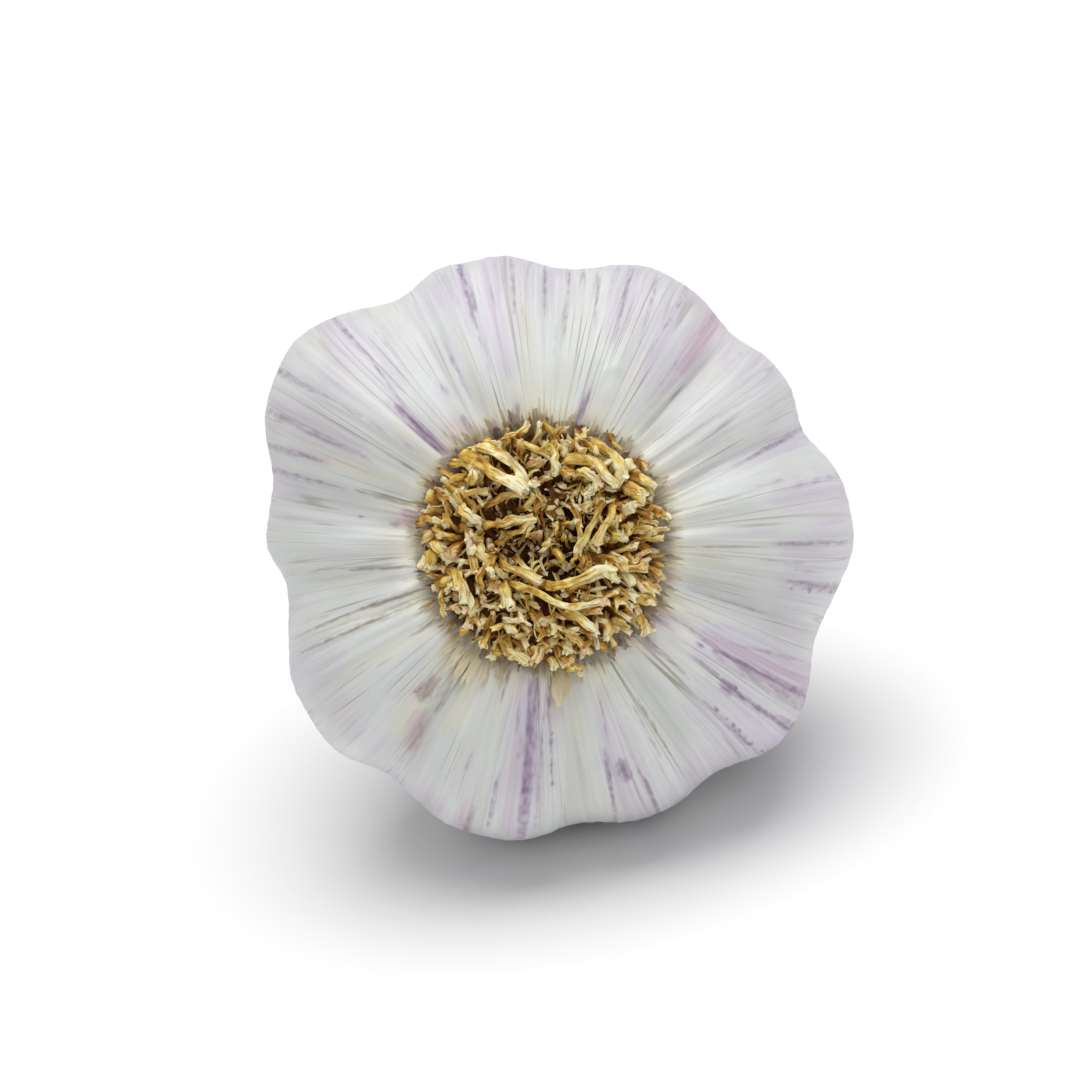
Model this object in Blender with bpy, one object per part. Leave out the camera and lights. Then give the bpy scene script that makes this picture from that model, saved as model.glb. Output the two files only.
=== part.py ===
"""A garlic bulb with its roots and neck trimmed, lying on its side.

It rests on two neighbouring cloves and on the lower edge of its cut neck, so its root end looks up.
Three pieces are modelled in the bulb's own frame and hang from one empty that lays them down:
the bulb in its papery skin, the basal plate with its dried roots, and the torn leaf bases round the plate.

The bulb's own frame has +Y along the bulb from the root end to the neck, and X right and Z up as seen when
looking at the root end. Directions round the bulb are degrees anticlockwise from the right in that view.
"""

import math

import bmesh
import bpy
import numpy as np
from mathutils import Matrix

# Driving dimensions, in metres and degrees
MEAN_REACH = 0.0300
# Each clove: direction and reach of its crest, then direction and reach of the crease that follows it
CLOVES = (
    (5, 0.0318, 25, 0.0292),
    (37, 0.0300, 48, 0.0289),
    (66, 0.0306, 85, 0.0284),
    (106, 0.0303, 120, 0.0294),
    (143, 0.0328, 169, 0.0283),
    (178, 0.0282, 189, 0.0268),
    (223, 0.0299, 236, 0.0283),
    (260, 0.0306, 279, 0.0288),
    (294, 0.0301, 306, 0.0292),
    (323, 0.0316, 343, 0.0295),
)
CREST_FULLNESS = 1.25  # over 1 makes the crests broader than the creases

# Mean meridian of the skin: distance along the bulb from the root plane, and radius
MERIDIAN = (
    (0.0026, 0.0109),
    (0.0012, 0.0112),
    (0.0004, 0.0124),
    (0.0000, 0.0152),
    (0.0012, 0.0200),
    (0.0047, 0.0252),
    (0.0105, 0.0288),
    (0.0180, 0.0300),
    (0.0260, 0.0286),
    (0.0335, 0.0240),
    (0.0395, 0.0178),
    (0.0445, 0.0120),
    (0.0500, 0.0077),
    (0.0565, 0.0057),
    (0.0635, 0.0050),
    (0.0690, 0.0053),
)
WIDEST_ALONG = 0.0180
TIP_ALONG, TIP_RADIUS = MERIDIAN[-1]

# How strongly the cloves show through the skin, by radius: up to the widest place, and on towards the neck
CLOVE_SHOW_ROOT_SIDE = ((0.0109, 0.0), (0.0130, 0.12), (0.0170, 0.45), (0.0230, 0.85), (0.0288, 1.0))
CLOVE_SHOW_NECK_SIDE = (
    (0.0050, 0.0),
    (0.0070, 0.15),
    (0.0120, 0.75),
    (0.0190, 1.2),
    (0.0265, 1.1),
    (0.0300, 1.0),
)
CREASE_HALF_WIDTH_DEG = 11.0
SHOULDER_CREASE = 0.0011  # extra depth of the creases on the shoulder
SHOULDER_FROM, SHOULDER_RISE = 0.020, 0.012
SHOULDER_TO, SHOULDER_FALL = 0.050, 0.010

# The neck: where it starts, how far the skin twists and drifts on the way, and its lengthwise folds
NECK_START = 0.0440
NECK_BLEND = 0.0100
NECK_TWIST_DEG = 16
NECK_DRIFT = (0.0016, -0.0006)
NECK_FOLDS = ((7, 0.00030, 40), (11, 0.00022, 160))  # count, height and phase in degrees

# Mesh of the skin, coarser from the place where the neck's rings start
COLUMNS = 108
NECK_COLUMNS = 36
RINGS = 35
COARSE_FROM = 0.0470

# Raised veins, one to every other column, which fade in outside the plate
VEIN_HEIGHT = 0.00020
VEIN_FADE_FROM, VEIN_FADE = 0.0115, 0.0040

# The cut end of the neck: leaf sheaths, one inside another, round the cut flower stalk
CUT_END = (
    (0.0690, 0.00455),
    (0.0678, 0.00435),
    (0.0678, 0.00365),
    (0.0693, 0.00350),
    (0.0693, 0.00290),
    (0.0680, 0.00270),
    (0.0680, 0.00205),
    (0.0698, 0.00190),
    (0.0700, 0.00120),
)

# The basal plate, seated in the skin's open end with a gap all round: distance along the bulb, and radius
PLATE_PROFILE = (
    (0.0022, 0.0100),
    (0.0008, 0.0104),
    (-0.0006, 0.0104),
    (-0.0016, 0.0094),
    (-0.0019, 0.0074),
    (-0.0012, 0.0048),
    (-0.0002, 0.0022),
)
PLATE_MIDDLE = 0.0003
PLATE_COLUMNS = 32
PLATE_LUMP = 0.00025
LUMPS_ABOVE = -0.0010

# Dried roots laid by hand: width, height above the root plane, then points in millimetres
LAID_ROOTS = (
    (0.00130, 0.0044, ((1.3, 8.0), (2.8, 8.6), (4.4, 8.6), (5.8, 7.9), (6.7, 6.8), (7.5, 5.8))),
    (0.00150, 0.0046, ((5.2, 10.3), (6.1, 9.6), (7.0, 8.7), (7.7, 7.6), (8.1, 6.4))),
    (0.00120, 0.0040, ((2.9, 6.8), (3.6, 7.3), (4.5, 7.2), (5.2, 6.5), (5.1, 5.6), (4.2, 5.3))),
    (0.00150, 0.0042, ((-8.2, 9.1), (-6.7, 8.4), (-5.3, 7.3), (-3.9, 6.7), (-2.8, 6.1), (-2.0, 5.4))),
    (0.00130, 0.0036, ((-7.0, 9.9), (-5.6, 9.6), (-4.1, 8.9), (-2.9, 7.8), (-2.3, 6.6), (-1.8, 5.7))),
    (0.00130, 0.0038, ((-8.8, 4.1), (-7.9, 3.4), (-7.0, 2.7), (-6.2, 2.3))),
    (0.00095, 0.0034, ((-6.6, 1.7), (-5.1, 2.1), (-3.6, 2.5), (-2.2, 2.5), (-1.1, 2.7))),
    (0.00095, 0.0030, ((-6.2, 3.4), (-5.3, 4.3), (-4.0, 4.8), (-2.9, 5.0), (-1.8, 5.1))),
    (0.00095, 0.0044, ((-4.3, -3.5), (-2.4, -4.1), (-0.5, -4.8), (1.4, -5.7), (3.3, -6.2), (6.0, -5.6))),
    (0.00110, 0.0042, ((-0.5, -3.9), (1.2, -4.1), (2.9, -3.6), (4.5, -2.9), (6.1, -2.3), (7.2, -3.0))),
    (0.00120, 0.0038, ((1.6, -7.0), (2.7, -6.9), (3.8, -7.4), (4.7, -8.1), (5.4, -8.9))),
    (0.00085, 0.0030, ((2.2, -8.5), (3.2, -9.3), (4.0, -10.1), (4.6, -11.1))),
    (0.00110, 0.0026, ((-4.3, -10.2), (-3.4, -10.7), (-2.4, -11.2), (-1.5, -11.7))),
    (0.00085, 0.0036, ((6.2, 5.7), (5.8, 4.1), (5.2, 2.6), (4.4, 1.1), (3.7, -0.2))),
    (0.00095, 0.0040, ((7.2, 4.9), (6.9, 3.6), (6.3, 2.3), (5.7, 1.1), (5.2, 0.1))),
    (0.00080, 0.0034, ((1.7, 4.5), (2.7, 4.0), (3.4, 2.9), (3.6, 1.4), (3.6, 0.1), (3.4, -1.0))),
    (0.00140, 0.0036, ((8.0, 5.9), (8.9, 5.5), (9.7, 5.0), (10.4, 4.5))),
    (0.00150, 0.0030, ((8.6, 7.2), (9.5, 6.7), (10.4, 6.1), (11.2, 5.6))),
    (0.00120, 0.0032, ((-11.3, 0.5), (-10.5, -0.2), (-9.7, -1.0), (-9.0, -1.9))),
    (0.00130, 0.0036, ((-9.6, -2.2), (-8.8, -3.1), (-8.2, -4.1), (-7.8, -5.1), (-7.9, -5.9))),
    (0.00130, 0.0032, ((-7.0, 0.3), (-6.4, -0.4), (-5.7, -1.4), (-5.4, -2.2))),
    (0.00110, 0.0036, ((-4.4, -1.2), (-3.5, -2.2), (-2.4, -2.7), (-1.3, -3.1), (-0.2, -3.6))),
    (0.00100, 0.0034, ((-3.4, 10.3), (-1.9, 10.1), (-0.5, 9.5), (0.8, 8.6), (1.4, 7.2))),
)
MILLIMETRE = 0.001
LAID_POINTS = 6
LAID_DROP = 0.0006  # how much lower the far end of a laid root lies
LAID_FOOT_REACH = 0.0088
LAID_FOOT_ALONG = 0.0002
LAID_CLEAR = 0.0023  # height at which a laid root passes over the edge of the plate
LAID_CLEAR_FROM, LAID_CLEAR_RISE = 0.0090, 0.0014

# Rows of short stubs round the plate: radius of the row, how many, length, and slant away from upright
STUB_ROWS = (
    (0.0093, 28, 0.0040, 62),
    (0.0078, 20, 0.0042, 38),
    (0.0060, 13, 0.0036, 20),
    (0.0040, 8, 0.0028, -16),
    (0.0019, 4, 0.0022, -20),
)
STUB_WIDTH = 0.00115
STUB_SUNK = 0.0009
STUB_ROW_JITTER = 0.0005
ROOT_FLATNESS = 0.72
ROOT_SIDES = 5

# Torn leaf bases: a ragged collar on the skin round the plate, with its outer edge's direction and reach
COLLAR_INSIDE = 0.0112
COLLAR_REACHES = (
    (0, 0.0132),
    (30, 0.0130),
    (69, 0.0139),
    (90, 0.0129),
    (112, 0.0134),
    (140, 0.0130),
    (169, 0.0140),
    (200, 0.0134),
    (225, 0.0142),
    (238, 0.0162),
    (252, 0.0140),
    (268, 0.0136),
    (280, 0.0152),
    (292, 0.0136),
    (324, 0.0144),
    (345, 0.0132),
)
COLLAR_TOOTH = 0.0010
COLLAR_THICKNESS = 0.0006
COLLAR_COLUMNS = 72
GAP = 0.0003

# How the bulb lies, and where the middle of its root plane comes to be
LEAN_DEG = 26.9
ROLL_DEG = 12.6
AXIS_POINT = (-0.00185, -0.02685, 0.0367)

SEED = 11
SHARP_EDGE_DEG = 50


def ease(share):
    """Smooth step from 0 to 1."""
    share = np.clip(share, 0.0, 1.0)
    return share * share * (3.0 - 2.0 * share)


def smooth_line(points, count):
    """Points evenly spaced along a Catmull-Rom line through hand-placed points."""
    points = np.array(points, float)
    before = 2 * points[0] - points[1]
    after = 2 * points[-1] - points[-2]
    knots = np.vstack([before, points, after])
    t = np.linspace(0.0, 1.0, 12, endpoint=False)[:, None]
    line = []
    for a, b, c, d in zip(knots, knots[1:], knots[2:], knots[3:]):
        square = (2 * a - 5 * b + 4 * c - d) * t**2
        cube = (3 * b - a - 3 * c + d) * t**3
        line.append(0.5 * (2 * b + (c - a) * t + square + cube))
    line = np.vstack([*line, points[-1:]])
    run = np.concatenate([[0.0], np.cumsum(np.linalg.norm(np.diff(line, axis=0), axis=1))])
    wanted = np.linspace(0.0, run[-1], count)
    return np.stack([np.interp(wanted, run, line[:, axis]) for axis in range(line.shape[1])], axis=1)


def clove_reach(degrees):
    """Reach of the widest outline in each direction: crests and creases joined by eased runs."""
    turns = []
    reaches = []
    for crest, high, crease, low in CLOVES:
        turns += [crest, crease]
        reaches += [high, low]
    turns.append(CLOVES[0][0] + 360)
    reaches.append(CLOVES[0][1])
    turns = np.array(turns, float)
    reaches = np.array(reaches)
    degrees = (np.asarray(degrees, float) - turns[0]) % 360 + turns[0]
    left = np.clip(np.searchsorted(turns, degrees, side="right") - 1, 0, len(turns) - 2)
    share = (degrees - turns[left]) / (turns[left + 1] - turns[left])
    leaving_crest = left % 2 == 0
    away = np.where(leaving_crest, share, 1.0 - share)
    drop = ease(away**CREST_FULLNESS)
    crest = np.where(leaving_crest, reaches[left], reaches[left + 1])
    crease = np.where(leaving_crest, reaches[left + 1], reaches[left])
    return crest + (crease - crest) * drop


def crease_share(degrees):
    """1 in the bottom of a crease between cloves, 0 on a crest."""
    nearest = np.full(np.shape(degrees), 180.0)
    for _, _, crease, _ in CLOVES:
        away = np.abs((np.asarray(degrees) - crease + 180.0) % 360.0 - 180.0)
        nearest = np.minimum(nearest, away)
    return 1.0 - ease(nearest / CREASE_HALF_WIDTH_DEG)


def skin_stations(count):
    """Stations along the mean meridian: axial place, radius and the outward normal's two parts."""
    fine = smooth_line(MERIDIAN, 600)
    slope = np.gradient(fine, axis=0)
    slope /= np.linalg.norm(slope, axis=1)[:, None]
    picked = np.linspace(0, len(fine) - 1, count).round().astype(int)
    return fine[picked], np.stack([-slope[picked, 1], slope[picked, 0]], axis=1)


def skin_ring(station, normal, degrees):
    """Points of the skin round the bulb at one station of the meridian."""
    along, radius = station
    table = CLOVE_SHOW_ROOT_SIDE if along < WIDEST_ALONG else CLOVE_SHOW_NECK_SIDE
    show = np.interp(radius, [r for r, _ in table], [s for _, s in table])
    push = show * (clove_reach(degrees) - MEAN_REACH)
    shoulder = ease((along - SHOULDER_FROM) / SHOULDER_RISE) * ease((SHOULDER_TO - along) / SHOULDER_FALL)
    push -= shoulder * SHOULDER_CREASE * crease_share(degrees)
    neck = ease((along - NECK_START) / NECK_BLEND)
    for count, height, phase in NECK_FOLDS:
        push += neck * height * np.cos(np.radians(count * degrees + phase))
    towards_neck = ease((along - WIDEST_ALONG) / (TIP_ALONG - WIDEST_ALONG))
    turn = np.radians(degrees + NECK_TWIST_DEG * towards_neck)
    drift = neck * (along - NECK_START) / (TIP_ALONG - NECK_START)
    reach = radius + normal[1] * push
    across = reach * np.cos(turn) + NECK_DRIFT[0] * drift
    up = reach * np.sin(turn) + NECK_DRIFT[1] * drift
    return np.stack([across, along + normal[0] * push, up], axis=1)


def zip_rings(low, high):
    """Faces between two rings of vertex numbers; the first may have a whole number of times as many."""
    ratio = len(low) // len(high)
    faces = []
    for i in range(len(high)):
        j = (i + 1) % len(high)
        start = i * ratio
        for step in range(ratio - 1):
            faces.append((low[start + step], low[start + step + 1], high[i]))
        last = start + ratio - 1
        faces.append((low[last], low[(last + 1) % len(low)], high[j], high[i]))
    return faces


def closed_skin(rings, start_centre, end_centre):
    """Vertices and faces of a body drawn through rings, closed at both ends by a fan."""
    vertices = [tuple(p) for ring in rings for p in ring]
    firsts = np.concatenate([[0], np.cumsum([len(ring) for ring in rings])])
    numbers = [list(range(firsts[i], firsts[i + 1])) for i in range(len(rings))]
    faces = []
    for low, high in zip(numbers, numbers[1:]):
        faces += zip_rings(low, high)
    for ring, centre in ((numbers[0][::-1], start_centre), (numbers[-1], end_centre)):
        middle = len(vertices)
        vertices.append(tuple(centre))
        for a, b in zip(ring, ring[1:] + ring[:1]):
            faces.append((a, b, middle))
    return vertices, faces


def add_body(name, vertices, faces, collection=None):
    """A mesh object with its faces turned outwards."""
    mesh = bpy.data.meshes.new(name)
    mesh.from_pydata([tuple(v) for v in vertices], [], faces)
    shell = bmesh.new()
    shell.from_mesh(mesh)
    bmesh.ops.recalc_face_normals(shell, faces=shell.faces)
    shell.to_mesh(mesh)
    shell.free()
    body = bpy.data.objects.new(name, mesh)
    (collection or bpy.context.scene.collection).objects.link(body)
    return body


def paint(body, name, colour, roughness):
    material = bpy.data.materials.new(name)
    material.use_nodes = True
    shader = material.node_tree.nodes["Principled BSDF"]
    shader.inputs["Base Color"].default_value = (*colour, 1.0)
    shader.inputs["Roughness"].default_value = roughness
    shader.inputs["Metallic"].default_value = 0.0
    body.data.materials.clear()
    body.data.materials.append(material)
    body.data.shade_smooth()
    body.data.set_sharp_from_angle(angle=math.radians(SHARP_EDGE_DEG))


def resting_matrix():
    """Turns and moves the bulb's own frame to how it lies: rolled about its axis, then tipped neck down."""
    tipped = Matrix.Rotation(math.radians(-LEAN_DEG), 4, "X")
    rolled = Matrix.Rotation(math.radians(ROLL_DEG), 4, "Y")
    return Matrix.Translation(AXIS_POINT) @ tipped @ rolled


def pressed_flat(points):
    """Points that would lie under the floor moved up onto it, which leaves small flat spots to rest on."""
    place = np.array(resting_matrix())
    up = place[2, :3]
    height = points @ up + place[2, 3]
    return points - np.minimum(height, 0.0)[:, None] * up


def vein_heights(draws):
    """How far each column stands out of the skin: ridges of uneven height with shallow grooves between."""
    ridges = draws.uniform(0.3, 1.0, COLUMNS)
    grooves = draws.uniform(-0.4, 0.0, COLUMNS)
    return VEIN_HEIGHT * np.where(np.arange(COLUMNS) % 2 == 0, ridges, grooves)


def skin_rings(draws):
    """Every ring of the papery skin, from the seat of the basal plate to the cut neck."""
    stations, normals = skin_stations(RINGS)
    around = np.arange(COLUMNS) * 360.0 / COLUMNS
    veins = vein_heights(draws)
    rings = []
    for station, normal in zip(stations, normals):
        along, radius = station
        if along < COARSE_FROM:
            ring = skin_ring(station, normal, around)
            outward = ring - np.array([0.0, along, 0.0])
            outward /= np.linalg.norm(outward, axis=1)[:, None]
            slant = outward * normal[1]
            slant[:, 1] = normal[0]
            raised = veins * ease((radius - VEIN_FADE_FROM) / VEIN_FADE)
            ring = ring + slant * raised[:, None]
        else:
            ring = skin_ring(station, normal, around[:: COLUMNS // NECK_COLUMNS])
        rings.append(pressed_flat(ring))
    return rings


def make_bulb(draws):
    """The bulb in its papery skin, with the neck's cut end of nested leaf sheaths."""
    rings = skin_rings(draws)
    tip = rings[-1]
    centre = tip.mean(axis=0)
    for along, radius in CUT_END:
        ring = centre + (tip - centre) * (radius / TIP_RADIUS)
        ring[:, 1] = along
        rings.append(pressed_flat(ring))
    stalk_end = centre.copy()
    stalk_end[1] = CUT_END[-1][0]
    vertices, faces = closed_skin(rings, (0.0, MERIDIAN[0][0], 0.0), stalk_end)
    bulb = add_body("bulb", vertices, faces)
    paint(bulb, "papery skin", (0.72, 0.70, 0.70), 0.5)
    return bulb


def make_plate(draws):
    """The basal plate: a lumpy disc with a raised ring and a hollow middle."""
    around = np.radians(np.arange(PLATE_COLUMNS) * 360.0 / PLATE_COLUMNS)
    rings = []
    for along, radius in PLATE_PROFILE:
        lumps = draws.uniform(-PLATE_LUMP, PLATE_LUMP, PLATE_COLUMNS) * (along < LUMPS_ABOVE)
        ring = [radius * np.cos(around), along + lumps, radius * np.sin(around)]
        rings.append(np.stack(ring, axis=1))
    vertices, faces = closed_skin(rings, (0.0, PLATE_PROFILE[0][0], 0.0), (0.0, PLATE_MIDDLE, 0.0))
    return add_body("root_tuft", vertices, faces)


def root_rings(path, width, flatness, twist):
    """Rings of a flattened, slightly twisted root whose width swells and shrinks a little on its way."""
    tangent = np.gradient(path, axis=0)
    tangent /= np.linalg.norm(tangent, axis=1)[:, None]
    side = np.cross(tangent[0], (0.3, 1.0, 0.2))
    rings = []
    for i, (point, ahead) in enumerate(zip(path, tangent)):
        side = side - ahead * (side @ ahead)
        side /= np.linalg.norm(side)
        lift = np.cross(ahead, side)
        share = i / (len(path) - 1)
        turns = twist * share + np.arange(ROOT_SIDES) * 2 * math.pi / ROOT_SIDES
        half = 0.5 * width * (0.82 + 0.18 * math.cos(5.0 * share + twist))
        oval = np.outer(np.cos(turns), side) + flatness * np.outer(np.sin(turns), lift)
        rings.append(point + half * oval)
    return rings


def add_root(path, width, flatness, twist, collection):
    rings = root_rings(path, width, flatness, twist)
    vertices, faces = closed_skin(rings, rings[0].mean(axis=0), rings[-1].mean(axis=0))
    return add_body("root", vertices, faces, collection)


def laid_root_path(height, points):
    """A root laid across the tuft: it comes up out of the plate, arches over and ends a little lower."""
    flat = smooth_line(points, LAID_POINTS) * MILLIMETRE
    share = np.linspace(0.0, 1.0, len(flat))
    rise = height * ease(share / 0.4 + 0.25) - LAID_DROP * share
    past_edge = ease((np.hypot(flat[:, 0], flat[:, 1]) - LAID_CLEAR_FROM) / LAID_CLEAR_RISE)
    rise = np.maximum(rise, LAID_CLEAR * past_edge)
    path = np.stack([flat[:, 0], -rise, flat[:, 1]], axis=1)
    foot = path[0].copy()
    foot[[0, 2]] *= min(1.0, LAID_FOOT_REACH / np.hypot(foot[0], foot[2]))
    foot[1] = LAID_FOOT_ALONG
    return np.vstack([foot, path])


def stub_path(row_radius, direction, length, slant, bend):
    """A short stub: it stands on the plate and leans outwards, or inwards if the slant is negative."""
    out = np.array([math.cos(direction), 0.0, math.sin(direction)])
    around = np.array([-out[2], 0.0, out[0]])
    upright = np.array([0.0, -1.0, 0.0])
    along, radii = np.array(PLATE_PROFILE[::-1]).T
    plate_top = -np.interp(row_radius, radii, along)
    foot = out * row_radius + upright * (plate_top - STUB_SUNK)
    path = [foot]
    for share in (0.35, 0.7, 1.0):
        tilt = math.radians(slant) * (0.35 + 0.65 * share)
        step = upright * math.cos(tilt) + out * math.sin(tilt) + around * bend * share
        path.append(foot + (length + STUB_SUNK) * share * step / np.linalg.norm(step))
    return np.array(path)


def keep_outer_shell(mesh):
    """Drops every shell but the largest, which fills what the union sealed, and cuts it into triangles."""
    shell = bmesh.new()
    shell.from_mesh(mesh)
    bmesh.ops.triangulate(shell, faces=shell.faces)
    unseen = set(shell.faces)
    largest = set()
    while unseen:
        group = {unseen.pop()}
        reached = list(group)
        while reached:
            for edge in reached.pop().edges:
                if len(edge.link_faces) == 2:
                    fresh = unseen.intersection(edge.link_faces)
                    unseen -= fresh
                    group |= fresh
                    reached += fresh
        if len(group) > len(largest):
            largest = group
    bmesh.ops.delete(shell, geom=[f for f in shell.faces if f not in largest], context="FACES")
    shell.to_mesh(mesh)
    shell.free()


def make_roots(plate, draws):
    """The dried roots: those laid by hand over rows of short stubs, all joined to the plate."""
    loose = bpy.data.collections.new("loose roots")
    bpy.context.scene.collection.children.link(loose)
    for width, height, points in LAID_ROOTS:
        add_root(laid_root_path(height, points), width, ROOT_FLATNESS, draws.uniform(0.0, 2.0), loose)
    for row_radius, count, length, slant in STUB_ROWS:
        start = draws.uniform(0.0, 2 * math.pi)
        for i in range(count):
            path = stub_path(
                row_radius + draws.uniform(-STUB_ROW_JITTER, STUB_ROW_JITTER),
                start + (i + draws.uniform(-0.25, 0.25)) * 2 * math.pi / count,
                length * draws.uniform(0.75, 1.15),
                slant + draws.uniform(-8, 8),
                draws.uniform(-0.5, 0.5),
            )
            width = STUB_WIDTH * draws.uniform(0.8, 1.25)
            add_root(path, width, draws.uniform(0.65, 0.95), draws.uniform(0.0, 3.0), loose)
    join = plate.modifiers.new("join roots", "BOOLEAN")
    join.operation = "UNION"
    join.operand_type = "COLLECTION"
    join.collection = loose
    join.solver = "MANIFOLD"
    graph = bpy.context.evaluated_depsgraph_get()
    joined = bpy.data.meshes.new_from_object(plate.evaluated_get(graph))
    keep_outer_shell(joined)
    plate.modifiers.clear()
    plate.data = joined
    for root in list(loose.objects):
        bpy.data.objects.remove(root)
    bpy.data.collections.remove(loose)
    paint(plate, "dried root", (0.55, 0.38, 0.14), 0.75)
    return plate


def make_torn_leaf_bases(draws):
    """The ragged collar that the outermost leaves leave where they have torn off the plate."""
    around = np.arange(COLLAR_COLUMNS) * 360.0 / COLLAR_COLUMNS
    outside = np.interp(around, [d for d, _ in COLLAR_REACHES], [r for _, r in COLLAR_REACHES], period=360)
    outside += draws.uniform(-0.5, 0.5, COLLAR_COLUMNS) * COLLAR_TOOTH
    inside = np.full(COLLAR_COLUMNS, COLLAR_INSIDE)
    halfway = 0.5 * (inside + outside)
    stations, normals = skin_stations(400)
    root_side = stations[:, 0] < WIDEST_ALONG
    rings = []
    for reach, lift in (
        (inside, 0.0),
        (halfway, 0.0),
        (outside, 0.0),
        (outside, 0.6 * COLLAR_THICKNESS),
        (halfway, COLLAR_THICKNESS),
        (inside, COLLAR_THICKNESS),
    ):
        ring = []
        for degrees, radius in zip(around, reach):
            pick = int(np.argmin(np.abs(stations[root_side, 1] - radius)))
            on_skin = skin_ring(stations[pick], normals[pick], np.array([degrees]))[0]
            turn = math.radians(degrees)
            along = on_skin[1] - VEIN_HEIGHT - GAP - lift
            ring.append((radius * math.cos(turn), along, radius * math.sin(turn)))
        rings.append(ring)
    vertices = [p for ring in rings for p in ring]
    numbers = [list(range(i * COLLAR_COLUMNS, (i + 1) * COLLAR_COLUMNS)) for i in range(len(rings))]
    faces = []
    for low, high in zip(numbers, numbers[1:] + numbers[:1]):
        faces += zip_rings(low, high)
    collar = add_body("torn_leaf_bases", vertices, faces)
    paint(collar, "torn leaf", (0.48, 0.33, 0.34), 0.65)
    return collar


def main():
    for stray in list(bpy.data.objects):
        bpy.data.objects.remove(stray)
    draws = np.random.default_rng(SEED)
    bulb = make_bulb(draws)
    tuft = make_roots(make_plate(draws), draws)
    collar = make_torn_leaf_bases(draws)
    lying = bpy.data.objects.new("lying_garlic", None)
    bpy.context.scene.collection.objects.link(lying)
    lying.matrix_world = resting_matrix()
    for piece in (bulb, tuft, collar):
        piece.parent = lying


main()
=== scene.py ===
import math

import bpy
import numpy as np
from mathutils import Matrix


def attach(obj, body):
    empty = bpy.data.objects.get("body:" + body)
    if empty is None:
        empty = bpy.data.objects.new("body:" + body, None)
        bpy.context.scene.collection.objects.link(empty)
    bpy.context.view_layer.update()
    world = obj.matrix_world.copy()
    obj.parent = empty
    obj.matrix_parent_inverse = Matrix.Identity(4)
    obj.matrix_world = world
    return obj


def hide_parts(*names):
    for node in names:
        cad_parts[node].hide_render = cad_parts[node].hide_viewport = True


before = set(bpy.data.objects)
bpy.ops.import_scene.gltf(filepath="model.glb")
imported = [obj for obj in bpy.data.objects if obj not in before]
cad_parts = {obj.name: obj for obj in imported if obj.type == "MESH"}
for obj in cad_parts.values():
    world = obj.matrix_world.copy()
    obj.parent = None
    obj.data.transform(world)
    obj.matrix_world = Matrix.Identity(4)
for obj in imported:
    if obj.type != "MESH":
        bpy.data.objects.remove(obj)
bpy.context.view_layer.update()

millimetre = 0.001
print("frame loaded:", sorted(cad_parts))


# How the bulb lies. Its own frame has +Y from the root end to the neck, and X right and Z up as seen from
# the root end
lie = {
    "leanDeg": 26.9,
    "rollDeg": 12.6,
    "rootPlaneMiddle": (-0.00185, -0.02685, 0.0367),
}
tipped = Matrix.Rotation(math.radians(-lie["leanDeg"]), 3, "X")
rolled = Matrix.Rotation(math.radians(lie["rollDeg"]), 3, "Y")
lieTurn = np.array(tipped @ rolled)
lieMiddle = np.array(lie["rootPlaneMiddle"])


# Points of the bulb's own frame where they lie: turn x point + middle, with a height of at least 0
def laidDown(points):
    placed = points @ lieTurn.T + lieMiddle
    placed[..., 2] = np.maximum(placed[..., 2], 0.0)
    return placed


# Eased step: 0 below low, 1 above high, 3t^2 - 2t^3 between
def softStep(low, high, value):
    share = np.clip((value - low) / (high - low), 0.0, 1.0)
    return share * share * (3.0 - 2.0 * share)


# Catmull-Rom line through given points a, b, c and d: between b and c it is half of
# 2b + (c - a) t + (2a - 5b + 4c - d) t^2 + (3b - a - 3c + d) t^3. It is read at evenly spaced places
def smoothLine(points, count, stepsPerSpan=16):
    points = np.array(points, float)
    knots = np.vstack([2 * points[0] - points[1], points, 2 * points[-1] - points[-2]])
    a, b, c, d = knots[:-3, None], knots[1:-2, None], knots[2:-1, None], knots[3:, None]
    t = np.linspace(0.0, 1.0, stepsPerSpan, endpoint=False)[None, :, None]
    bends = (2 * a - 5 * b + 4 * c - d) * t**2 + (3 * b - a - 3 * c + d) * t**3
    line = (0.5 * (2 * b + (c - a) * t + bends)).reshape(-1, points.shape[1])
    line = np.vstack([line, points[-1:]])
    run = np.concatenate([[0.0], np.cumsum(np.linalg.norm(np.diff(line, axis=0), axis=1))])
    wanted = np.linspace(0.0, run[-1], count)
    return np.stack([np.interp(wanted, run, column) for column in line.T], axis=1)


# Vectors along the last axis, each divided by its length
def unit(vectors):
    return vectors / np.linalg.norm(vectors, axis=-1, keepdims=True)


profileDirections = np.arange(0.0, 360.0, 0.05)
anyPhase = (0.0, 6.3)


# Wavy line round the bulb: a sum of cosines with every whole count between two limits, each with a random
# size and phase, divided by its own spread
def roundProfile(draws, fewest, most):
    wave = np.zeros(len(profileDirections))
    sizes = draws.normal(size=most - fewest + 1)
    phases = draws.uniform(0.0, 2 * math.pi, most - fewest + 1)
    for count, size, phase in zip(range(fewest, most + 1), sizes, phases):
        wave += size * np.cos(np.radians(count * profileDirections) + phase)
    return wave / wave.std()


# The wavy line's height in given directions
def readProfile(profile, directions):
    return np.interp(directions, profileDirections, profile, period=360.0)


# Soft mottling over direction and run: the sum of random waves cos(count x direction + rate x run + phase),
# with whole counts so that it has no seam, scaled to a spread of 1
def mottle(draws, directions, runs, mostRound, shortestRun, waves=26):
    total = np.zeros(np.broadcast(directions, runs).shape)
    for _ in range(waves):
        count = draws.integers(0, mostRound + 1)
        rate = draws.uniform(-2 * math.pi, 2 * math.pi) / shortestRun
        total += np.cos(np.radians(count * directions) + rate * runs + draws.uniform(0.0, 2 * math.pi))
    return total / math.sqrt(waves / 2)


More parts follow.
